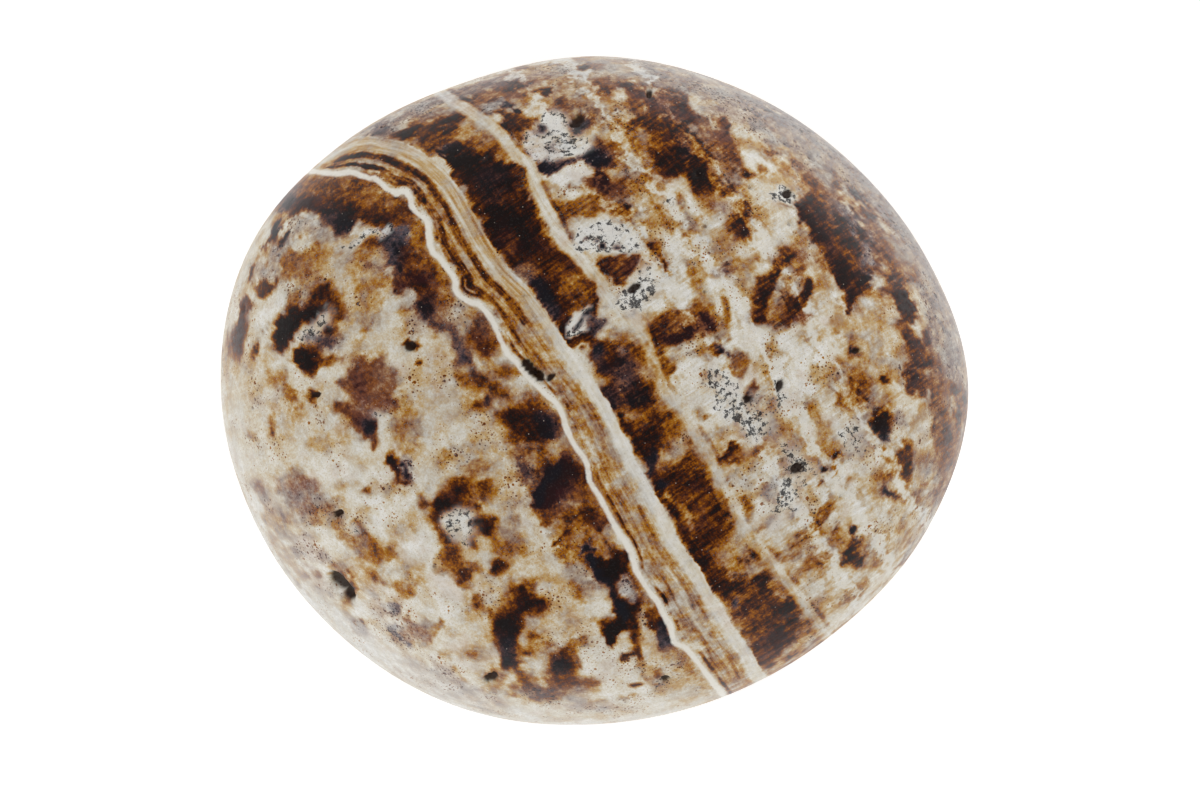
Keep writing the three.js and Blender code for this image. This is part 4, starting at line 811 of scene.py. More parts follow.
DEEPEST = [
    Body("ochre", -19.6, 9, -17, 10.6, -14.6, 9, -15, 6.8, -17.4, 8, -19.4, 6.6, cover=0.6, soft=0.9),
    Body("amber", -15.8, 7.2, -14.4, 6.6, -14.8, 4, -16.2, 2.6, -16, 5, cover=0.6, soft=0.6),
    Body("rose", -20.6, -6.6, -19.4, -6, -18.4, -7, -18.8, -8.4, -20.2, -8.8, cover=0.8, soft=0.5),
    Body("russet", -18.2, -7.6, -17.2, -7.6, -16.8, -8.8, -17.8, -9.2, cover=0.7, soft=0.4),
    Body("amber", -16.6, -9.6, -15, -9.8, -13.2, -12.2, -13.8, -13.4, -15.6, -12.2, -16.6, -11,
        cover=0.6, soft=0.6),
    Body("plum", -22.6, -6.6, -21.6, -7, -20.6, -10, -18.8, -12.6, -19.8, -12.6, -21.6, -9.8, cover=0.5,
        soft=0.6),
    Body("lilac", -12.4, -17.6, -9.6, -19.4, -6.4, -20.6, -6.8, -21.2, -10.4, -20.2, -13.2, -18.2,
        cover=0.8, soft=0.5),
    Body("rose", -16.8, 1.2, -15.8, 2.2, -14.2, 2, -13.2, 0.4, -13.6, -1.2, -15.2, -1.6, -16.6, -0.6,
        soft=0.5),
    Body("plum", -16.4, 1, -15.4, 1.4, -14.6, 0, -15.4, -1, -16.2, -0.4, cover=0.5, soft=0.4),
    Body("amber", 16, 2.2, 17.2, 1.6, 18.6, -0.6, 18, -1.8, 16.6, -0.6, 15.6, 1, cover=0.75, soft=0.5),
    Streak("ochre", 0.6, 11.6, -0.8, 13.4, -3, 14.8, -4.6),
    Streak("ochre", 0.5, 14.4, -0.8, 15.8, -3.2, 16.6, -4.6),
    Streak("amber", 0.5, 12.6, -10.9, 14.2, -9.4, 15.8, -7.8),
    Streak("amber", 0.4, 13.4, -12.2, 15, -11.2, 16.2, -10),
    Streak("ochre", 0.7, 6.2, 8.4, 7.8, 5.4, 8.8, 3.4),
    Streak("ochre", 0.5, 1.8, 16.6, 3.4, 13.6, 5, 10.4),
    Streak("ochre", 0.5, 5.4, 13.2, 7.2, 10.4, 9.4, 8.4),
    Body("bistre", -9.8, 16.8, -7.6, 16.2, -5.4, 13.6, -4.6, 10.8, -6.2, 10.2, -7.6, 12.4, -9.4, 14.6,
        cover=0.7, soft=0.8),
    Body("umber", 13.9, 12.4, 15.6, 12.6, 18.2, 9.4, 19, 6.4, 17.4, 5.2, 16, 7.8, cover=0.85, soft=0.9),
    Body("straw", 17.2, 5.6, 18.6, 6.2, 19.8, 5.4, 20.6, 3.6, 20.4, 1.6, 19, 1.8, 17.8, 3, cover=0.8,
        soft=0.5),
    Body("dusk", 16.6, 13.8, 18.6, 12.2, 20.4, 8.8, 21.6, 4.8, 22.4, 0.8, 21.5, 0.2, 20.6, 3.6, 19.5, 7,
        18, 10.4, cover=0.55, soft=0.9),
    Body("umber", 20.2, 6.4, 21, 5.8, 21.6, 3.6, 21.2, 2.6, 20.7, 3.8, 20.4, 5, cover=0.7, soft=0.5),
    Streak("umber", 0.8, 11, 5, 11.5, 6.8, 12.9, 9), Streak("umber", 0.6, 12.9, 4.7, 13.6, 6, 14.2, 7),
    Streak("amber", 0.5, 12.2, 4.6, 12.6, 6, 13.3, 7.6),
    Streak("straw", 0.3, 11.9, 5.4, 12.4, 7, 13.2, 8.4),
    Body("plum", 2.6, 20, 4.2, 20.2, 6.4, 19.2, 8.2, 17.6, 9.6, 15.6, 8.8, 15.2, 7.4, 16.8, 5.6, 18.2,
        3.6, 18.8, cover=0.7, soft=0.6),
    Body("chestnut", 3.6, 17.9, 5.4, 18, 7, 16.8, 8, 15.2, 9.4, 13.6, 8, 13.3, 6, 13.9, 4.8, 14.4,
        4, 15.8, cover=0.6, soft=0.7),
    Streak("straw", 1.2, -0.6, 19.4, 1.2, 18.2, 2.4, 16.8, 3.1, 15, 3.4, 13.2, cover=0.75, soft=0.4),
    Body("umber", -3, -2.6, -0.8, -3.4, 0.6, -6, 1.4, -8.6, -0.2, -8.8, -1.6, -6.2, cover=0.5, soft=0.8),
]
# The fine growth lines of the ribbon near the top, all alike and side by side.
RIBBON_LINE = np.array([(-0.6, 19.4), (1.2, 18.2), (2.4, 16.8), (3.1, 15.0), (3.4, 13.2)])
RIBBON_LINES = [
    Streak("amber", 0.1, *(RIBBON_LINE + (shift, 0.6 * shift)).ravel(), soft=0.12, cover=0.8)
    for shift in (-0.5, -0.25, 0.0, 0.2, 0.42)
]
DENDRITES = [
    Body("dendrite", 1, 5.6, 2.4, 7, 3.4, 8.2, 4.2, 7.6, 4, 6.2, 3.2, 5.2, 1.8, 5.4, cover=1, soft=0.7),
    Body("dendrite", 7.8, 0.8, 8.8, 1, 9.8, 0.2, 10.8, -1.2, 11.4, -2.8, 10.4, -3.2, 9, -2, 8, -0.6,
        cover=1, soft=0.8),
    Body("dendrite", 12.8, -3.8, 14.4, -4.2, 14.6, -5.6, 13.6, -7.6, 12.2, -9, 11.2, -8.4, 11.8, -6.8,
        12.4, -5.4, cover=1, soft=0.8),
    Body("dendrite", 11.8, 0.6, 12.5, 0.4, 12.6, -1.2, 11.9, -1.4, cover=1, soft=0.4),
    Body("dendrite", 16.4, -2.6, 17.6, -2.4, 18.2, -3.4, 17, -4.2, cover=1, soft=0.6),
    Body("dendrite", 4.5, 12.9, 5.5, 13.2, 5.7, 12.3, 4.7, 12, cover=1, soft=0.5),
    Body("dendrite", 12, 13.7, 13.1, 13.6, 13.3, 12.7, 12.2, 12.5, cover=1, soft=0.5),
]
BOTTOM = [
    Body("amber", -0.6, -10.7, 0.8, -11.2, 1.4, -10.6, 2.1, -10.8, 2.5, -11.6, 3, -12.4, 3.3, -13.2,
        3.4, -14, 3.1, -14.8, 3.2, -15.6, 3.2, -17, 2.8, -17.4, 2.3, -16.5, 2, -16.2, 1.4, -16.8,
        0.8, -17.1, 0.5, -16.2, 0.2, -15.4, 0.7, -15, 1.3, -15, 1, -14.2, 0.6, -13.2, 0.2, -12.4,
        -0.3, -12),
    Body("umber", -0.4, -10.9, 0.8, -11.4, 1.4, -10.8, 2, -10.9, 2.3, -11.6, 2.7, -12.4, 3, -13.2,
        3.1, -14, 2.8, -14.8, 2.9, -15.6, 2.9, -16.6, 2.5, -16.4, 2, -15.9, 1.4, -16.4, 0.9, -16.9,
        0.7, -16.2, 0.4, -15.4, 0.8, -15.1, 1.5, -15.1, 1.2, -14.2, 0.8, -13.2, 0.4, -12.4, 0, -12),
    Streak("ink", 0.5, -0.2, -11.2, 0.3, -12.2, 0.9, -12.9, 1.3, -13.8, 1.7, -14.6, 2.2, -15.2),
    Body("bistre", 0.6, -12.2, 1.4, -11.6, 2, -11.8, 1.9, -12.6, 1.3, -12.8),
    Spot("bistre", 1.3, -15.8, 0.6, 0.5, 30),
    Body("grey", 1.4, -12.9, 2.2, -12.5, 2.7, -13.4, 2.5, -14.3, 1.8, -13.9),
    Spot("ivory", 0.8, -11.2, 0.4, 0.25), Streak("ochre", 0.4, 2.4, -11.5, 2.9, -12.6, 3.05, -13.4),
    Body("straw", 3, -13.6, 3.8, -14, 4.4, -15.2, 4.9, -16.4, 5, -17.2, 3.9, -17.3, 3.2, -16.4,
        cover=0.8, soft=0.4),
    Body("umber", 3.5, -15, 3.9, -14.4, 4.2, -14.9, 4.4, -15.5, 4.2, -16, 3.8, -16.1, 3.5, -15.6),
    Body("ink", 4.3, -15.5, 4.6, -15.6, 4.8, -16.3, 5.1, -17, 4.5, -17.1, 4.2, -16.4),
    Body("ochre", 4.6, -17.8, 5.4, -17.3, 6.2, -17.7, 6.8, -18.5, 7.1, -19.4, 6.2, -19.7, 5.8, -18.8,
        5.2, -18.2),
    Spot("amber", 6.2, -18.4, 0.4, 0.3, -45),
    Body("straw", 3.4, -17.6, 4.8, -18, 5.6, -19, 7, -19.8, 7.6, -20.4, 6, -20.6, 4.2, -20.2, 3.2, -19.4,
        cover=0.8, soft=0.5),
    Streak("chestnut", 0.3, 2.8, -16.9, 3, -17.5, 3.2, -18.1),
    Streak("chestnut", 0.25, 1.7, -18.2, 2.3, -17.8, 2.8, -17.4),
    Streak("ochre", 0.3, 3.2, -18, 3.3, -19.2), Spot("umber", 2.6, -19.75, 0.5, 0.12, 10),
    Spot("umber", 4.3, -18.8, 0.14, 0.1), Spot("ochre", 2.1, -20.6, 0.35, 0.14, 15),
    Spot("ochre", 0.6, -20.75, 0.25, 0.08), Spot("lilac", 0.3, -21.3, 0.8, 0.15),
    Body("chestnut", 6.9, -11, 7.6, -11.2, 8.4, -11.7, 9.1, -12.1, 9.4, -12.7, 10, -12.9, 10.6, -12.7,
        11.2, -12, 11.6, -12.6, 12, -13.2, 12.7, -13.6, 13, -14.2, 13.3, -15, 13.4, -16.4, 12.4, -17.8,
        11, -18.4, 10.4, -17, 9.6, -15.6, 8.8, -14.2, 7.8, -12.6),
    Body("umber", 7.3, -11.5, 8.2, -11.6, 9, -12.4, 9.3, -13.4, 8.8, -13.9, 8, -12.7, cover=0.8),
    Body("umber", 10.4, -12.9, 11.2, -12.2, 11.8, -13.2, 11.4, -13.8, 10.8, -13.5, cover=0.8),
    Spot("ivory", 9.65, -13.7, 0.25, 0.5, 15), Spot("slate", 9.4, -14.2, 0.2, 0.25),
    Spot("amber", 9.5, -13, 0.3, 0.5, 20),
    Body("amber", 11.9, -13.6, 12.8, -13.5, 12.6, -14.2, 12, -14.4, cover=0.7),
    Streak("bistre", 0.2, 11.6, -16, 12.9, -14.8),
    Body("plum", 10.7, -16.4, 12.2, -16.2, 13.2, -16.6, 12.4, -17.7, 11.2, -18.2, cover=0.7),
    Body("umber", -0.6, 3.5, 0.4, 3.4, 1.4, 3.1, 2.4, 3.1, 3.3, 3, 3.6, 2.2, 3.9, 1.2, 4.1, 0.2,
        3.8, -0.4, 1.8, -0.4, 0.6, 0.5, -0.2, 1.8, -0.8, 2.8, cover=0.9),
    Spot("ink", 0.1, 2.4, 0.35, 0.7, 20), Spot("grey", 1.7, 2.55, 0.4, 0.35),
    Body("slate", 1.3, 1.9, 2.8, 2, 3, 0.6, 2.2, 0, 1.4, 0.6, cover=0.6),
    Spot("ivory", 3.3, 0.9, 0.14, 0.3), Body("chestnut", 2.4, 2.9, 3.4, 2.8, 3.7, 1.6, 3, 1.4, cover=0.6),
]
LOWER_RIGHT = [
    Body("straw", 13, -11, 14.2, -10.2, 15.8, -9.4, 16.6, -8.8, 16.6, -10.4, 15.6, -12.2, 14, -13.6,
        13.2, -12.6, cover=0.7, soft=0.5),
    Body("amber", 12.4, -10.8, 13, -10.2, 13.8, -9.5, 14.6, -8.9, 15.2, -8.4, 15.7, -7.8, 15.9, -7.4,
        16, -8, 15.6, -8.6, 15.2, -9, 14.6, -9.4, 14.2, -10, 13.6, -10.4, 13, -10.7, 12.9, -11.2,
        12.6, -11.4),
    Body("chestnut", 13.2, -10.4, 13.9, -9.7, 14.6, -9.3, 15.3, -8.6, 15.8, -8, 15.4, -8.8, 14.4, -9.7,
        13.7, -10.4, cover=0.8),
    Body("straw", 15.9, -7.5, 16.2, -6.8, 16.8, -6.2, 17, -5.8, 16.9, -6.6, 16.4, -7.4),
    Spot("ochre", 16.2, -7.1, 0.3, 0.2),
    Streak("amber", 0.22, 13, -11.2, 14, -10.8, 14.8, -10.3, 15.6, -9.9, 16.1, -9.3, 16.1, -8.7),
    Streak("ochre", 0.2, 16.2, -10.6, 16.8, -9.8), Streak("ochre", 0.16, 14, -9.9, 15, -9.5, 16, -8.9),
    Body("straw", 17.6, -10, 18.4, -9.4, 19, -9.2, 19, -10, 18.2, -10.7, 17.8, -10.6),
    Body("amber", 16.5, -11.6, 17, -10.2, 17.4, -9.8, 17.9, -10.4, 17.8, -11.6, 17.2, -12.1),
    Body("bistre", 16.6, -11.4, 16.9, -10.6, 17.1, -10.3, 17.3, -10.8, 17.6, -11.3, 17.3, -11.9,
        16.9, -11.6),
    Body("slate", 12.7, -5.4, 12.9, -4.6, 13.6, -4.4, 14.1, -4.9, 14, -5.5, 13.4, -5.9, 12.9, -5.7),
    Spot("ink", 13.45, -5, 0.38, 0.36), Spot("ink", 13.1, -4.5, 0.1, 0.2),
    Spot("ink", 13.15, -8.2, 0.3, 0.18, 40), Spot("ink", 13.1, -8.55, 0.1, 0.1),
    Spot("umber", 13.7, -7.6, 0.08, 0.25), Spot("ink", 17.4, -3.3, 0.32, 0.22, 20),
    Spot("umber", 17.9, -3.6, 0.1, 0.28), Spot("ink", 17.1, -4.15, 0.22, 0.14, 30),
    Spot("umber", 14.7, -4.9, 0.1, 0.25, -20), Spot("umber", 14.65, -5.4, 0.2, 0.1, 30),
    Spot("umber", 14.3, -5.7, 0.2, 0.08), Spot("umber", 15.2, -6.3, 0.17, 0.14),
    Spot("umber", 16.05, -5.3, 0.12, 0.35), Spot("umber", 15.9, -5.85, 0.16, 0.08),
    Spot("umber", 16.2, -4.5, 0.1, 0.2), Spot("umber", 16.3, -3.9, 0.15, 0.1),
    Spot("umber", 15.5, -5.3, 0.14, 0.08), Spot("ink", 17.1, -9.15, 0.15, 0.1, 40),
    Spot("ink", 17.3, -9.45, 0.08, 0.08), Spot("ochre", 19.7, -9.2, 0.14, 0.5, -20),
    Spot("ochre", 20.6, -9.2, 0.16, 0.5, -10),
    Body("lilac", 20.4, -11.2, 21.2, -10.3, 22, -9, 21.6, -10.4, 20.8, -11.4),
    Spot("umber", 14.8, -11.5, 0.18, 0.08),
    Body("amber", -17.7, -12.1, -17, -11.9, -16.4, -12.2, -16, -12.6, -15.5, -13.2, -15.7, -13.7,
        -16, -13.4, -16, -14, -16.7, -13.9, -17, -13.5, -17.4, -13.1),
    Body("bistre", -17, -12.4, -16.5, -12.5, -16.3, -12.9, -16.1, -13.6, -16.5, -13.8, -16.6, -13.2,
        -16.9, -12.9),
    Body("lilac", -19.8, -11.4, -18.8, -11.7, -18.2, -12.5, -17.7, -13.5, -18.4, -13.3, -19.3, -12.4),
    Spot("chestnut", -14.3, -12.7, 0.35, 0.15, -40), Spot("amber", -12.9, -13.4, 0.5, 0.4),
    Body("lilac", -15, -12.9, -14.3, -13.7, -13.8, -14.9, -14.4, -15.1, -15.1, -14),
    Body("haze", -13.9, -14, -13.2, -14.1, -12.9, -14.8, -13.5, -15),
    Spot("haze", -13.4, -15.7, 0.4, 0.4),
    Body("lilac", -16.4, -15.1, -15.6, -15.5, -14.9, -16.5, -15.9, -16.3),
    Streak("slate", 0.3, -13.5, -16.1, -12.2, -17.2), Spot("umber", -15.6, -15.5, 0.22, 0.08, -40),
    Spot("umber", -16.2, -14.4, 0.14, 0.07, -40),
]
STONE_PAINT = (
    GROUND + RIM_REFLECTION_AND_SHADE + UPPER_LEFT + UPPER_LEFT_CORNER + LEFT + LEFT_OF_SEAM + LOWER_LEFT + BOTTOM_LEFT
    + TOP + RIGHT + BESIDE_CREAM + BOTTOM + LOWER_RIGHT + MIDDLE + DENDRITES + DEEPEST + RIBBON_LINES
)


class Socket:
    """A socket of a node tree, which Python's operators join to Math nodes."""

    def __init__(self, tree, socket=None):
        self.tree, self.socket = tree, socket

    def node(self, kind, settings=None, sockets=None, output=0):
        """A new node: its type, its settings, and what its sockets hold or are linked to."""
        made = self.tree.nodes.new(kind)
        for name, value in (settings or {}).items():
            if name == "stops":
                points = made.color_ramp.elements
                while len(points) < len(value):
                    points.new(1.0)
                for point, (place, colour) in zip(points, value):
                    point.position, point.color = place, colour
            else:
                setattr(made, name, value)
        for name, value in (sockets or {}).items():
            if isinstance(value, Socket):
                self.tree.links.new(value.socket, made.inputs[name])
            else:
                made.inputs[name].default_value = value
        return Socket(self.tree, made.outputs[output] if len(made.outputs) else None)

    def math(self, operation, *values):
        return self.node("ShaderNodeMath", {"operation": operation}, dict(enumerate(values)))

    def __add__(self, other):
        return self.math("ADD", self, other)

    __radd__ = __add__

    def __sub__(self, other):
        return self.math("SUBTRACT", self, other)

    def __rsub__(self, other):
        return self.math("SUBTRACT", other, self)

    def __mul__(self, other):
        return self.math("MULTIPLY", self, other)

    __rmul__ = __mul__

    def __truediv__(self, other):
        return self.math("DIVIDE", self, other)

    def __abs__(self):
        return self.math("ABSOLUTE", self)

    def least(self, other):
        return self.math("MINIMUM", self, other)

    def most(self, other):
        return self.math("MAXIMUM", self, other)

    def rise(self, low, high):
        """0 at low, 1 at high, with an even rise between them. low may be the larger."""
        return self.node(
            "ShaderNodeMapRange",
            {"interpolation_type": "SMOOTHSTEP"},
            {0: self, 1: low, 2: high, 3: 0.0, 4: 1.0},
        )

    def parts(self):
        """The three numbers of a vector."""
        split = self.node("ShaderNodeSeparateXYZ", {}, {0: self}).socket.node
        return [Socket(self.tree, socket) for socket in split.outputs]

    def scaled(self, factors):
        return self.node("ShaderNodeVectorMath", {"operation": "MULTIPLY"}, {0: self, 1: factors})

    def mixed(self, other, share):
        """This colour with a share of another one over it."""
        return self.node(
            "ShaderNodeMix", {"data_type": "RGBA"}, {0: share, 6: self, 7: other}, output=2
        )

    def noise(self, scale, detail=2.0, roughness=0.5):
        """Noise on this vector, from about -1 to 1."""
        return (
            self.node(
                "ShaderNodeTexNoise",
                {},
                {"Vector": self, "Scale": scale, "Detail": detail, "Roughness": roughness},
            )
            - 0.5
        ) * 2.0


def shade(red, green, blue):
    """A colour from its 0 to 255 values as seen on a screen."""
    values = [value / 255 for value in (red, green, blue)]
    return tuple(v / 12.92 if v <= 0.04045 else ((v + 0.055) / 1.055) ** 2.4 for v in values) + (1.0,)


def colour_property(name, description, *seen):
    return bpy.props.FloatVectorProperty(
        name=name, description=description, default=shade(*seen), size=4, min=0, max=1, subtype="COLOR"
    )


class PebbleColours(bpy.types.PropertyGroup):
    ivory: colour_property("Ivory", "Clean calcite", 234, 232, 227)
    cream: colour_property("Cream", "Faintly stained calcite", 213, 205, 187)
    straw: colour_property("Straw", "Lightly stained calcite", 194, 166, 122)
    ochre: colour_property("Ochre", "Stained calcite", 172, 126, 68)
    amber: colour_property("Amber", "Clear stained calcite at the edge of a dark body", 149, 88, 30)
    chestnut: colour_property("Chestnut", "Brown bodies", 86, 43, 16)
    umber: colour_property("Umber", "Dark brown bodies", 48, 19, 8)
    bistre: colour_property("Bistre", "The darkest brown", 15, 6, 4)
    rose_pale: colour_property("Pale rose", "Rose tint where the stain is faint", 210, 192, 177)
    rose_mid: colour_property("Rose", "Rose tint in brown stain", 122, 78, 62)
    plum: colour_property("Plum", "Rose tint in dark stain", 49, 19, 20)
    ink_pale: colour_property("Pale grey", "Ink tint where the stain is faint", 225, 225, 228)
    ink_mid: colour_property("Slate", "Ink tint in middling stain", 94, 89, 98)
    ink: colour_property("Ink", "Ink tint in dark stain", 18, 18, 26)
    chalk: colour_property("Chalk", "Dry white crust", 222, 221, 217)
    # Painted sheen: this colour whitens the shoulders where light glances off them, and it also gives the
    # pale crystal flecks.
    sheen_and_scuff: colour_property("Sheen and scuffing", "Fine pale wear on the shoulders", 200, 199, 197)
    seam: colour_property("Seam", "The white seam", 232, 228, 218)


def length_property(name, description, millimetres, precision=5):
    return bpy.props.FloatProperty(
        name=name, description=description, default=millimetres * MM, unit="LENGTH", precision=precision
    )


class PebbleSizes(bpy.types.PropertyGroup):
    seam_width: length_property("Seam width", "Width of the white seam", 0.34)
    cream_width: length_property("Cream band width", "Width of the cream band", 0.86)
    ribbon_width: length_property("Ribbon width", "Width of the scalloped ribbon", 0.9)
    pinhole_reach: length_property("Pinhole reach", "Radius of the scattered pinholes", 0.26)
    pinhole_depth: length_property("Pinhole depth", "Depth of the scattered pinholes", 0.16)
    pinhole_gap: length_property("Pinhole gap", "Least distance between pinholes", 3.0)
    grain_height: length_property("Grain height", "Height of the finest relief", 0.03, precision=6)
    gloss: bpy.props.FloatProperty(
        name="Roughness", description="Roughness of the worn skin", default=0.36, min=0, max=1,
        subtype="FACTOR",
    )


class PebbleStage(bpy.types.PropertyGroup):
    floor: colour_property("Floor", "Colour of the light table", 245, 245, 245)
    floor_glow: bpy.props.FloatProperty(
        name="Table glow", description="Light given off by the table", default=0.42, min=0
    )
    sky: bpy.props.FloatProperty(
        name="Room light", description="Even white light all round", default=0.72, min=0
    )
    side_power: bpy.props.FloatProperty(
        name="Side light", description="Power of the low soft lights", default=0.35, unit="POWER"
    )


def facing(compass, tilt):
    """The direction that looks towards a compass point and is tilted up from level, in degrees."""
    turn, lean = math.radians(compass), math.radians(tilt)
    return math.cos(lean) * math.cos(turn), math.cos(lean) * math.sin(turn), math.sin(lean)


def outline_reach(azimuth):
    """How far the outline lies from the upright axis, between the compass points too."""
    ring = np.array(OUTLINE_REACH)
    count = len(ring)
    place = (azimuth / (2 * np.pi) * count + count) % count
    start = np.floor(place).astype(int)
    share = place - start
    before, near, far, after = (ring[(start + step) % count] for step in (-1, 0, 1, 2))
    return (
        near * (2 * share**3 - 3 * share**2 + 1)
        + (far - before) / 2 * (share**3 - 2 * share**2 + share)
        + far * (3 * share**2 - 2 * share**3)
        + (after - near) / 2 * (share**3 - share**2)
    )


def soft_excess(amount, rounding):
    return rounding * np.logaddexp(0, amount / rounding)


def stone_points(directions):
    """The stone's surface along each direction, in millimetres, resting at height 0."""
    level = np.hypot(directions[:, 0], directions[:, 1])
    rise = directions[:, 2]
    azimuth = np.arctan2(directions[:, 1], directions[:, 0])
    scale = (level**WALL_FULLNESS + np.abs(rise) ** WALL_FULLNESS) ** (-1 / WALL_FULLNESS)
    reach = outline_reach(azimuth) * level * scale
    height = np.where(rise > 0, CROWN_HEIGHT, BELLY_DEPTH) * rise * scale
    points = np.stack([reach * np.cos(azimuth), reach * np.sin(azimuth), height], axis=1)

    planes = []
    for compass, tilt, wear in WORN_FACES:
        normal = np.array(facing(compass, tilt))
        planes.append((normal, (points @ normal).max() - wear))
    for normal, distance in planes:
        points -= soft_excess(points @ normal - distance, FACE_ROUNDING)[:, None] * normal

    swell = np.sin(2 * np.pi * points[:, 0] / SWELL_LENGTHS[0] + 1) * np.cos(
        2 * np.pi * points[:, 1] / SWELL_LENGTHS[1]
    )
    points[:, 2] += SWELL_HEIGHT * swell * rise
    above = soft_excess(points[:, 2] + WIDEST_LEVEL, UNDERSIDE_ROUNDING) - UNDERSIDE_SETTLING
    points[:, 2] = np.maximum(0, above)
    low, high = points.min(axis=0), points.max(axis=0)
    points -= [(low[0] + high[0]) / 2, (low[1] + high[1]) / 2, low[2]]
    return points


def box_squares():
    """The corners on the skin of a box cut into squares, and the squares, facing outwards."""
    squares = []
    for axis in range(3):
        first, second = (axis + 1) % 3, (axis + 2) % 3
        a, b = np.meshgrid(np.arange(MESH_STEPS[first]), np.arange(MESH_STEPS[second]), indexing="ij")
        for side in (0, MESH_STEPS[axis]):
            corners = []
            for step_a, step_b in ((0, 0), (1, 0), (1, 1), (0, 1)):
                place = np.zeros((a.size, 3), int)
                place[:, axis] = side
                place[:, first] = (a + step_a).ravel()
                place[:, second] = (b + step_b).ravel()
                corners.append(place)
            squares.append(np.stack(corners if side else corners[::-1], axis=1))
    squares = np.concatenate(squares)
    wide = max(MESH_STEPS) + 1
    keys = squares @ np.array([1, wide, wide * wide])
    unique, first_use, index = np.unique(keys, return_index=True, return_inverse=True)
    corners = squares.reshape(-1, 3)[first_use]
    return corners, index.reshape(-1, 4)


def corner_normals(points, squares):
    """The way the surface looks at each corner."""
    p = points[squares]
    facing = np.cross(p[:, 2] - p[:, 0], p[:, 3] - p[:, 1])
    normals = np.zeros_like(points)
    for corner in range(4):
        np.add.at(normals, squares[:, corner], facing)
    return normals / np.linalg.norm(normals, axis=1)[:, None]


def sink_pits(points, normals):
    """Pushes the larger solution pits in, and returns how deep each corner lies in one, from 0 to 1."""
    depth_share = np.zeros(len(points))
    sunk = points.copy()
    rough = ragged(points, 0.7, 40)
    for x, y, length, width, depth, turn in PITS:
        away = points[:, :2] - [x, y]
        near = (np.hypot(*away.T) < length) & (points[:, 2] > WIDEST_LEVEL)
        cos, sin = math.cos(math.radians(turn)), math.sin(math.radians(turn))
        along = away[near] @ [cos, sin] / (length / 2)
        beside = away[near] @ [-sin, cos] / (width / 2)
        share = 1 - smooth(0.45, 1.25, np.hypot(along, beside) + 0.22 * rough[near])
        sunk[near] -= (share * depth * 0.75)[:, None] * normals[near]
        depth_share[near] = np.maximum(depth_share[near], share)
    return sunk, depth_share


def signed_distance(seen, line):
    """How far each point lies from a layer's middle line: positive on the upper right side."""
    line = np.array(line, float)
    run_in, run_out = line[0] - line[2], line[-1] - line[-3]
    line = np.vstack([line[0] + run_in * 30, line, line[-1] + run_out * 30])
    distance = segment_distance(seen, line[:-1], line[1:])
    order = np.maximum.accumulate(line @ ALONG + np.arange(len(line)) * 1e-6)
    across = np.interp(seen @ ALONG, order, line @ ACROSS)
    return np.where(seen @ ACROSS > across, distance, -distance)


def paint(points):
    """Each corner's place among the layers, its pigments, its skin and its growth directions."""
    # As the lens sees it, what is higher lies further from the middle of the view.
    widening = LENS_HEIGHT / (LENS_HEIGHT - (points[:, 2] - WIDEST_LEVEL))
    seen = VIEW_CENTRE + (points[:, :2] - VIEW_CENTRE) * widening[:, None]
    below = np.clip(WIDEST_LEVEL - points[:, 2], 0, None)[:, None]
    seen = seen + below * LAYER_LEAN
    wavy = np.stack([wander(points, 2.6, 3), wander(points, 2.6, 4)], axis=1)
    deep = smooth(0, 6, below)
    swayed = seen + wavy * 0.5 * deep
    layers = np.stack(
        [signed_distance(swayed, line) for line in (WHITE_SEAM, CREAM_BAND, SCALLOPED_RIBBON)], axis=1
    )

    torn = np.stack([ragged(points, 1.3, 11), ragged(points, 1.3, 21)], axis=1)
    place = seen + torn * EDGE_TEAR
    # Some edges are crisp and others run out over a millimetre.
    feather = 0.5 + 1.7 * smooth(-0.3, 0.5, ragged(points, 3.2, 41))
    fray = ragged(points, 0.75, 43)
    pigments = np.zeros((len(points), 4))
    pigments[:] = FINISHES["cream"]
    pigments[:, 0] += 0.1 * ragged(points, 3.0, 31)
    top = np.flatnonzero(points[:, 2] > UNSEEN_LEVEL)
    for item in STONE_PAINT:
        reach = item.soft * 2.2 + 1.0
        near = top[np.all((place[top] > item.low - reach) & (place[top] < item.high + reach), axis=1)]
        finish = np.array(FINISHES[item.finish])
        distance = item.distance(place[near]) + fray[near] * item.soft
        if finish[0] > 0.6:
            halo = (1 - smooth(-0.2, 0.9, distance)) * smooth(0.7, 1.8, feather[near])
            pigments[near, 0] = np.maximum(pigments[near, 0], item.cover * halo * 0.48)
        soft = item.soft * feather[near]
        share = item.cover * (1 - smooth(-soft, soft, distance))
        pigments[near] += share[:, None] * (finish - pigments[near])

    # Painted rim light: towards the lower left the stone pales to its rim.
    pale = smooth(15.0, 22.5, points[:, :2] @ [-0.74, -0.67]) * (0.45 + 0.35 * fray)
    pigments[:, 0] *= 1 - np.clip(pale, 0, 1)

    # The sides and the underside, which the photograph doesn't show, carry bodies like the top's.
    lumps = ragged(points * [1.0, 1.0, 0.8], 5.5, 51)
    side = np.zeros((len(points), 4))
    side[:, 0] = 0.09 + 0.7 * smooth(0.2, 0.8, lumps) + 0.08 * ragged(points, 2.0, 61)
    side[:, 1] = 0.7 * smooth(0.1, 0.9, wander(points, 7.0, 71)) * smooth(0.3, 0.6, side[:, 0])
    side[:, 2] = 0.6 * smooth(0.45, 0.9, wander(points, 4.0, 81))
    height = points[:, 2] + 0.8 * ragged(points, 2.2, 91)
    show = 1 - smooth(UNSEEN_LEVEL, WIDEST_LEVEL + 0.6, height)
    pigments += show[:, None] * (side - pigments)
    growth = np.stack([seen @ ALONG, layers[:, 1], points[:, 2]], axis=1)
    return layers, np.clip(pigments, 0, 1), growth


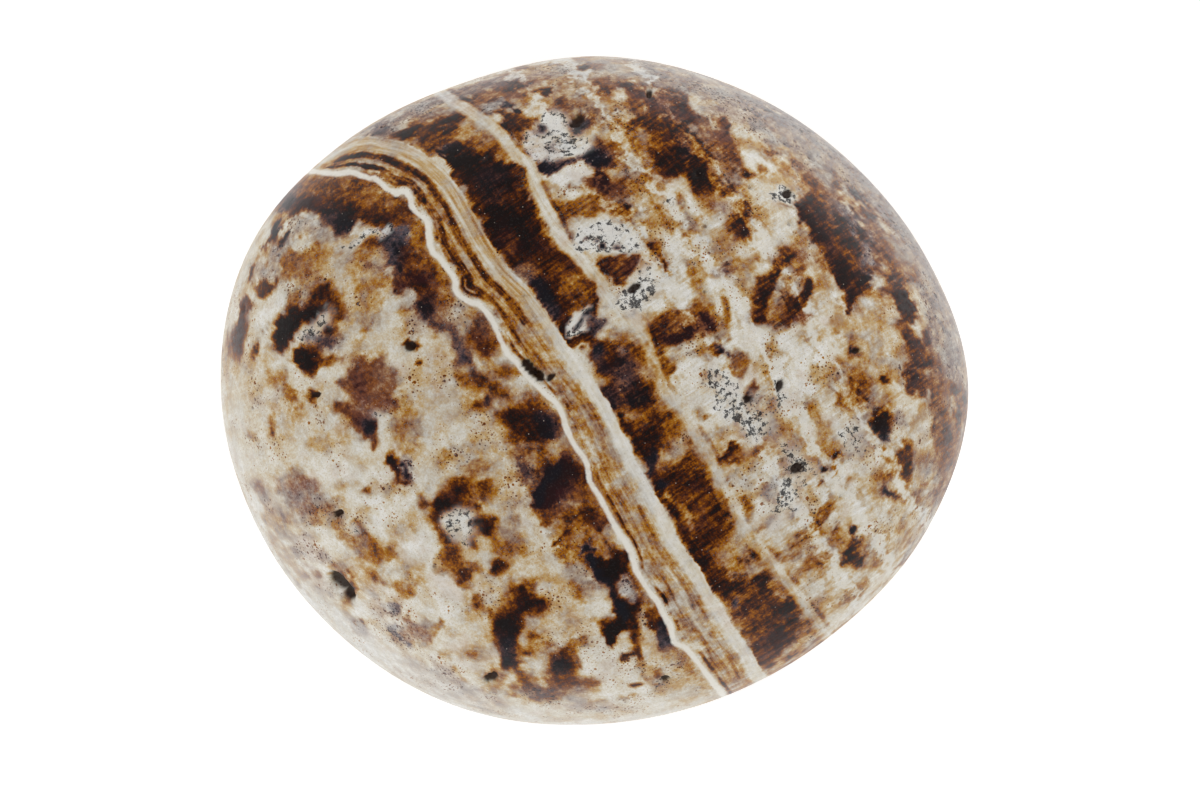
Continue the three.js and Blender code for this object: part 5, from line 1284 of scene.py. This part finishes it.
def painted_shoulder_sheen(points):
    """How far each corner is whitened by painted sheen, where light glances off the rim, most on the right
    and lower left shoulders.
    """
    azimuth = np.arctan2(points[:, 1], points[:, 0])
    out = np.hypot(points[:, 0], points[:, 1]) / outline_reach(azimuth)
    edge = 0.5 * smooth(0.88, 1.0, out) * np.abs(np.cos(azimuth - math.radians(46))) ** 2
    sides = 0.12 * np.clip(np.cos(azimuth - math.radians(42)), 0, 1) ** 2
    sides += 0.12 * np.clip(np.cos(azimuth - math.radians(232)), 0, 1) ** 2
    top = smooth(0.74, 0.99, out) * (0.05 + sides) + edge
    # Below the widest level the sides get an even painted sheen.
    below = smooth(WIDEST_LEVEL + 2, UNSEEN_LEVEL, points[:, 2])
    return np.clip(top + below * (0.25 - top), 0, 1)


def pinhole_tree(material):
    """Scatters small pinholes over the stone, in node form."""
    tree = bpy.data.node_groups.new("pinholes", "GeometryNodeTree")
    face = tree.interface
    face.new_socket("Geometry", in_out="INPUT", socket_type="NodeSocketGeometry")
    for name in ("Reach", "Depth", "Gap"):
        face.new_socket(name, in_out="INPUT", socket_type="NodeSocketFloat")
    face.new_socket("Seed", in_out="INPUT", socket_type="NodeSocketInt")
    face.new_socket("Geometry", in_out="OUTPUT", socket_type="NodeSocketGeometry")
    start = tree.nodes.new("NodeGroupInput")
    stone, reach, depth, gap, seed = (Socket(tree, socket) for socket in start.outputs[:5])
    scatter = stone.node(
        "GeometryNodeDistributePointsOnFaces",
        {"distribute_method": "POISSON"},
        {"Mesh": stone, "Distance Min": gap, "Density Max": PINHOLE_DENSITY, "Seed": seed},
    )
    distance = stone.node(
        "GeometryNodeProximity", {"target_element": "POINTS"}, {0: scatter}, output="Distance"
    )
    place = stone.node("GeometryNodeInputPosition")
    lump = place.node("ShaderNodeTexNoise", {}, {"Vector": place, "Scale": 700.0, "Detail": 1.0})
    spread = place.node("ShaderNodeTexNoise", {}, {"Vector": place, "Scale": 260.0, "Detail": 0.0})
    size = spread.rise(0.35, 0.62)
    share = (distance / (reach * (0.35 + size * 0.9)) + (lump - 0.5) * 0.5).rise(1.0, 0.3)
    normal = stone.node("GeometryNodeInputNormal")
    push = normal.node(
        "ShaderNodeVectorMath", {"operation": "SCALE"}, {0: normal, "Scale": share * depth * size * -1.0}
    )
    moved = stone.node("GeometryNodeSetPosition", {}, {"Geometry": stone, "Offset": push})
    kept = stone.node(
        "GeometryNodeStoreNamedAttribute",
        {"data_type": "FLOAT", "domain": "POINT"},
        {"Geometry": moved, "Name": "pinhole", "Value": share * size},
    )
    real = stone.node("GeometryNodeRealizeInstances", {}, {0: kept})
    dressed = stone.node("GeometryNodeSetMaterial", {}, {"Geometry": real, "Material": material})
    end = tree.nodes.new("NodeGroupOutput")
    tree.links.new(dressed.socket, end.inputs[0])
    return tree


def calcite_material(colours, sizes):
    """Banded calcite: stained bodies, seams, laminae, chalk and specks."""
    material = bpy.data.materials.new("banded_calcite")
    material.use_nodes = True
    tree = material.node_tree
    tree.nodes.clear()
    make = Socket(tree)

    def attribute(name, output="Vector"):
        return make.node("ShaderNodeAttribute", {"attribute_name": name}, output=output)

    seam, cream, ribbon = attribute("layers").parts()
    stain, rose, ink = attribute("pigments").parts()
    chalk, pit, sheen_and_scuff = attribute("skin").parts()
    growth = attribute("growth")
    pinhole = attribute("pinhole", "Fac")
    place = make.node("ShaderNodeTexCoord", output="Object").scaled((1000.0,) * 3)  # millimetres

    mottle = place.noise(0.75, 5.0, 0.62)
    grain = place.noise(3.2, 3.0, 0.6)
    dust = place.noise(8.0, 2.0, 0.65)
    cloud = place.noise(0.38, 4.0, 0.6)
    slow = place.noise(0.5, 3.0, 0.55)
    fibre = growth.scaled((4.2, 0.45, 0.6)).noise(1.0, 3.0, 0.6) * (0.3 + cream.rise(-3.0, 0.0) * 0.7)
    lamina = growth.scaled((0.2, 3.2, 0.3)).noise(1.0, 3.0, 0.6)
    wobble = place.noise(0.9, 3.0, 0.6)

    # The layers between the seam and the cream band.
    wavy_seam = seam + wobble * 0.1
    wavy_cream = cream + wobble * 0.12
    between = wavy_seam.rise(0.2, 0.5) * wavy_cream.rise(0.1, -0.3)
    seam_half = sizes.seam_width / MM / 2
    cream_half = sizes.cream_width / MM / 2
    ribbon_half = sizes.ribbon_width / MM / 2
    swelling = mottle * 0.22 + grain * 0.08
    seam_mask = (abs(wavy_seam) - swelling * 0.6).rise(seam_half + 0.1, seam_half - 0.08)
    edge_mask = abs(wavy_seam - 0.44 + swelling * 0.3).rise(0.27, 0.08) * cloud.rise(-0.3, 0.1)
    cream_left = (wavy_cream - swelling).rise(-cream_half - 0.3, -cream_half + 0.15)
    cream_right = (wavy_cream + swelling).rise(cream_half + 0.06, cream_half - 0.1)
    cream_mask = cream_left * cream_right
    strip_mask = abs(wavy_cream + 0.95 + swelling * 0.5).rise(0.5, 0.12) * (0.75 + cloud * 0.8)
    wavy_ribbon = ribbon + wobble * 0.2 + swelling * 0.4
    ribbon_mask = abs(wavy_ribbon).rise(ribbon_half + 0.12, ribbon_half - 0.25)
    ribbon_edge = abs(wavy_ribbon - ribbon_half - 0.1).rise(0.25, 0.05) * cloud.rise(-0.25, 0.2)
    inner_mask = abs(wavy_seam - 1.15 + mottle * 0.8).rise(0.75, 0.2)
    beside_mask = abs(wavy_seam + 0.6 + mottle * 0.3).rise(0.55, 0.1) * mottle.rise(-0.25, 0.25)

    layered = 0.24 + lamina * 0.3 + mottle * 0.16 + strip_mask * 0.2 + inner_mask * 0.16 + edge_mask * 0.4
    stain = stain + beside_mask * 0.5 * (0.5 - stain)

    # Towards the upper left the layers are browner and their laminae part.
    along, _, _ = growth.parts()
    upper = along.rise(-3.0, -9.0)
    glow = abs(wavy_seam + 1.5 + mottle * 0.5).rise(1.7, 0.9) * along.rise(-8.5, -11.0)
    arc = abs(wavy_seam + 2.3 + grain * 0.3).rise(0.9, 0.2)
    stain = stain + glow * 0.85 * (0.58 + arc * 0.22 + mottle * 0.3 - stain)
    # Brown shows through on both sides of the layers, lower down.
    right_side = wavy_cream.rise(cream_half, cream_half + 0.3) * wavy_ribbon.rise(0.3, -0.5)
    left_side = abs(wavy_seam + 2.5 + mottle * 1.2).rise(2.2, 1.5)
    for zone in (
        right_side * along.rise(-2.0, 4.0) * 0.8,
        left_side * along.rise(-1.5, 1.5) * along.rise(13.0, 9.0) * 0.8,
    ):
        stain = stain + zone * (0.55 + slow * 0.5 + mottle * 0.3 - stain).most(0.0)
    third = wavy_seam / (wavy_seam - wavy_cream).most(0.5)
    laminae = abs(third - 0.3).rise(0.11, 0.03) + abs(third - 0.62).rise(0.13, 0.04)
    layered = layered + laminae * upper * 0.34 - upper * 0.06
    stain = stain + between * (layered - stain)
    dark = stain.rise(0.3, 0.7)
    edge = stain.rise(0.1, 0.35) * stain.rise(1.0, 0.65)
    pale = stain.rise(0.4, 0.15)
    right = cream.rise(1.0, 6.0)
    streaky = slow.rise(-0.2, 0.25)
    stain = stain + cloud.rise(-0.05, 0.3) * pale * (0.1 + right * 0.18)
    stain = stain + dark * (slow * 0.36 + 0.05) + 0.02
    stain = stain + mottle * (0.12 + edge * 0.22) + grain * (0.12 + edge * 0.2)
    stain = stain + fibre * (0.06 + streaky * right * 0.22 + dark * 0.28)
    stain = stain + lamina * (0.07 + dark * 0.1) + dust * 0.24

    # Specks gather where the slow noise is high, and are blackest in the grey ground.
    gather = place.noise(0.4, 2.0, 0.5)
    specks = 0.0
    for count, size in ((1.4, 0.15), (2.9, 0.19), (4.6, 0.24)):
        dots = make.node(
            "ShaderNodeTexVoronoi", {}, {"Vector": place, "Scale": count}, output="Distance"
        )
        dots = dots + grain * 0.2
        room = gather.rise(-0.25, 0.4) * size + ink * 0.12
        specks = (dots - room).rise(0.05, -0.03) * (1 - dark) + specks
    blots = place.noise(1.7, 3.0, 0.7).rise(0.2, 0.3) * ink.rise(0.2, 0.6)
    # Fainter growth lines run on parallel to the layers.
    for level in (8.2, 11.4, 15.0):
        line = abs(wavy_cream - level + wobble * 1.6)
        stain = stain - line.rise(0.5, 0.1) * stain.rise(0.05, 0.4) * 0.26
        stain = stain + abs(line - 0.75).rise(0.35, 0.05) * slow.rise(-0.2, 0.1) * 0.13
    stain = stain + (specks.least(1.0) * 0.46 + blots * 0.35) * (1 - between)
    cream_tone = 0.11 + upper * 0.18 + lamina * (0.16 + upper * 0.3) + mottle * 0.14 + grain * 0.1
    stain = stain + cream_mask * (cream_tone - stain)
    ribbon_tone = 0.14 + lamina * 0.3 + mottle * 0.25 + grain * 0.1
    stain = stain + ribbon_mask * (0.4 + along.rise(0.0, -6.0) * 0.45) * (ribbon_tone - stain)
    stain = stain + ribbon_edge * 0.22

    stops = [
        (0.0, colours.ivory), (0.15, colours.cream), (0.3, colours.straw), (0.44, colours.ochre),
        (0.58, colours.amber), (0.73, colours.chestnut), (0.86, colours.umber), (0.97, colours.bistre),
    ]
    brown = make.node("ShaderNodeValToRGB", {"stops": stops}, {0: stain})
    rosy = make.node(
        "ShaderNodeValToRGB",
        {"stops": [(0.1, colours.rose_pale), (0.55, colours.rose_mid), (0.9, colours.plum)]},
        {0: stain},
    )
    inky = make.node(
        "ShaderNodeValToRGB",
        {"stops": [(0.05, colours.ink_pale), (0.55, colours.ink_mid), (0.92, colours.ink)]},
        {0: stain},
    )
    between_free = 1 - between
    rosiness = rose * (0.78 + mottle * 0.6) + (mottle - slow).rise(0.05, 0.5) * 0.4
    colour = brown.mixed(rosy, rosiness * (1 - between * 0.6))
    colour = colour.mixed(inky, ink * (0.85 + grain * 0.6) * between_free)
    # Some of the middling stain is smoky, and greyer than the rest.
    smoke = place.noise(0.62, 4.0, 0.65).rise(-0.12, 0.25) * (1 - dark) * (0.4 + edge * 0.6)
    colour = make.node(
        "ShaderNodeHueSaturation",
        {},
        {"Saturation": 1.1 - smoke * 0.55, "Value": 1 - smoke * 0.12, "Color": colour},
    )
    crust = chalk * (0.66 + grain * 0.9 + mottle * 0.5)
    colour = colour.mixed(tuple(colours.chalk), crust * between_free)
    colour = colour.mixed(shade(*SPECK_COLOUR), specks.least(1.0) * chalk * 0.8)
    # Black dendrites grow in the white crust, and most where it is thin.
    thin = chalk.rise(0.1, 0.5) * (1 - chalk.rise(0.7, 0.95) * 0.75)
    branches = (place.noise(2.6, 4.0, 0.75) + thin * 0.32).rise(0.33, 0.4) * chalk.rise(0.1, 0.3)
    colour = colour.mixed(tuple(colours.ink), branches * 0.9)
    # Painted highlights: tiny pale glints on the dark bodies.
    glints = make.node("ShaderNodeTexVoronoi", {}, {"Vector": place, "Scale": 1.7}, output="Distance")
    colour = colour.mixed(tuple(colours.rose_pale), glints.rise(0.09, 0.03) * dark * 0.6)
    # Sugary crystal faces and pores, down to a tenth of a millimetre.
    colour = colour.mixed(tuple(colours.sheen_and_scuff), dust.rise(0.08, 0.38) * (0.4 - dark * 0.38))
    pores = dust.rise(-0.12, -0.4) * (0.2 + right * 0.1) * (1 - dark * 0.8)
    colour = colour.mixed(shade(*PORE_COLOUR), pores)
    # Painted sheen: the shoulders and sides are whitened where light glances off them.
    colour = colour.mixed(tuple(colours.sheen_and_scuff), sheen_and_scuff * (0.56 + grain * 1.1 + mottle * 0.5))
    colour = colour.mixed(tuple(colours.seam), seam_mask * (0.93 + grain * 0.3))
    colour = colour.mixed(shade(*PIT_COLOUR), pit.rise(0.15, 0.7) * 0.95)
    colour = colour.mixed(shade(*PINHOLE_COLOUR), pinhole.rise(0.4, 0.8) * 0.75)

    relief = grain * 0.5 + mottle * 0.3 + fibre * dark * 0.35 - pinhole * 1.0
    bump = make.node(
        "ShaderNodeBump",
        {},
        {"Strength": 0.5, "Distance": sizes.grain_height, "Height": relief},
        output="Normal",
    )
    surface = make.node(
        "ShaderNodeBsdfPrincipled",
        {},
        {
            "Base Color": colour,
            "Roughness": sizes.gloss + grain * 0.06 + chalk * 0.25,
            "Normal": bump,
            "IOR": 1.5,
            "Coat Weight": 0.0,
            "Specular IOR Level": 0.1,
        },
    )
    make.node("ShaderNodeOutputMaterial", {}, {"Surface": surface})
    return material


class PEBBLE_OT_stone(bpy.types.Operator):
    """Make the pebble, with its pits and its banding"""

    bl_idname = "pebble.stone"
    bl_label = "Stone"

    def execute(self, context):
        colours, sizes = context.scene.pebble_colours, context.scene.pebble_sizes
        lattice, squares = box_squares()
        corners = lattice / np.array(MESH_STEPS) * 2 - 1
        directions = np.tan(corners * math.pi / 4)
        directions /= np.linalg.norm(directions, axis=1)[:, None]
        points = stone_points(directions)
        layers, pigments, growth = paint(points)
        sheen_and_scuff = painted_shoulder_sheen(points)
        points, pit = sink_pits(points, corner_normals(points, squares))

        mesh = bpy.data.meshes.new("stone")
        mesh.from_pydata((points * MM).tolist(), [], squares.tolist())
        skin = np.stack([pigments[:, 3], pit, sheen_and_scuff], axis=1)
        for name, values in (
            ("layers", layers), ("pigments", pigments[:, :3]), ("skin", skin), ("growth", growth)
        ):
            held = mesh.attributes.new(name, "FLOAT_VECTOR", "POINT")
            held.data.foreach_set("vector", values.astype(np.float32).ravel())
        mesh.shade_smooth()

        material = calcite_material(colours, sizes)
        rough = bpy.data.objects.new("rough_stone", mesh)
        context.collection.objects.link(rough)
        tree = pinhole_tree(material)
        holes = rough.modifiers.new("pinholes", "NODES")
        holes.node_group = tree
        wanted = {
            "Reach": sizes.pinhole_reach,
            "Depth": sizes.pinhole_depth,
            "Gap": sizes.pinhole_gap,
            "Seed": PINHOLE_SEED,
        }
        for item in tree.interface.items_tree:
            if item.in_out == "INPUT" and item.name in wanted:
                holes[item.identifier] = wanted[item.name]
        ready = rough.evaluated_get(context.evaluated_depsgraph_get())
        finished = bpy.data.meshes.new_from_object(ready)
        bpy.data.objects.remove(rough)
        stone = bpy.data.objects.new("banded_pebble", finished)
        context.collection.objects.link(stone)
        if len(finished.loop_triangles) == 0:
            finished.calc_loop_triangles()
        if not 0 < len(finished.loop_triangles) < MOST_TRIANGLES:
            raise RuntimeError("the stone has %d triangles" % len(finished.loop_triangles))
        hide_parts("pebble")
        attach(stone, "root")
        return {"FINISHED"}


class PEBBLE_OT_stage(bpy.types.Operator):
    """Make the light table, the soft lights and the camera"""

    bl_idname = "pebble.stage"
    bl_label = "Stage"

    def execute(self, context):
        scene = context.scene
        stage = scene.pebble_stage
        mesh = bpy.data.meshes.new("table")
        corners = [(-TABLE_HALF, -TABLE_HALF, 0), (TABLE_HALF, -TABLE_HALF, 0),
                   (TABLE_HALF, TABLE_HALF, 0), (-TABLE_HALF, TABLE_HALF, 0)]
        mesh.from_pydata(corners, [], [(0, 1, 2, 3)])
        table = bpy.data.objects.new("light_table", mesh)
        scene.collection.objects.link(table)
        material = bpy.data.materials.new("light_table")
        material.use_nodes = True
        surface = material.node_tree.nodes["Principled BSDF"]
        surface.inputs["Base Color"].default_value = stage.floor
        surface.inputs["Roughness"].default_value = 0.9
        surface.inputs["Specular IOR Level"].default_value = 0.1
        surface.inputs["Emission Color"].default_value = (1, 1, 1, 1)
        surface.inputs["Emission Strength"].default_value = stage.floor_glow
        mesh.materials.append(material)

        world = bpy.data.worlds.new("room")
        world.use_nodes = True
        world.node_tree.nodes["Background"].inputs["Color"].default_value = (1, 1, 1, 1)
        world.node_tree.nodes["Background"].inputs["Strength"].default_value = stage.sky
        scene.world = world

        for name, compass, tilt, share in LAMPS:
            light = bpy.data.lights.new(name, "AREA")
            light.shape, light.size, light.energy = "DISK", LAMP_SIZE, stage.side_power * share
            lamp = bpy.data.objects.new(name, light)
            way = Vector(facing(compass, tilt))
            lamp.location = way * LAMP_DISTANCE + Vector((0, 0, LAMP_AIM))
            lamp.rotation_euler = way.to_track_quat("Z", "Y").to_euler()
            scene.collection.objects.link(lamp)

        lens = bpy.data.cameras.new("camera")
        lens.lens, lens.sensor_width, lens.sensor_fit = LENS, SENSOR, "HORIZONTAL"
        lens.clip_start, lens.clip_end = 0.01, 20
        camera = bpy.data.objects.new("camera", lens)
        camera.location = (VIEW_CENTRE[0] * MM, VIEW_CENTRE[1] * MM, (LENS_HEIGHT + WIDEST_LEVEL) * MM)
        scene.collection.objects.link(camera)
        scene.camera = camera
        scene.view_settings.view_transform = "Standard"
        return {"FINISHED"}


class PEBBLE_PT_panel(bpy.types.Panel):
    """Lists the steps that make the pebble"""

    bl_idname = "PEBBLE_PT_panel"
    bl_label = "River pebble"
    bl_space_type = "VIEW_3D"
    bl_region_type = "UI"
    bl_category = "River pebble"

    def draw(self, context):
        layout = self.layout
        for operator in OPERATORS:
            layout.operator(operator.bl_idname)
        for group_name in GROUPS:
            group = getattr(context.scene, group_name)
            box = layout.box()
            for name in group.__annotations__:
                box.prop(group, name)


OPERATORS = (PEBBLE_OT_stone, PEBBLE_OT_stage)
GROUPS = {"pebble_sizes": PebbleSizes, "pebble_colours": PebbleColours, "pebble_stage": PebbleStage}


def register():
    for item in (*GROUPS.values(), *OPERATORS, PEBBLE_PT_panel):
        bpy.utils.register_class(item)
    for name, group in GROUPS.items():
        setattr(bpy.types.Scene, name, bpy.props.PointerProperty(type=group))


def unregister():
    for name in GROUPS:
        delattr(bpy.types.Scene, name)
    for item in reversed((*GROUPS.values(), *OPERATORS, PEBBLE_PT_panel)):
        bpy.utils.unregister_class(item)


def main():
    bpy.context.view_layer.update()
    register()
    bpy.ops.pebble.stone()
    bpy.ops.pebble.stage()


if __name__ == "__main__":
    main()
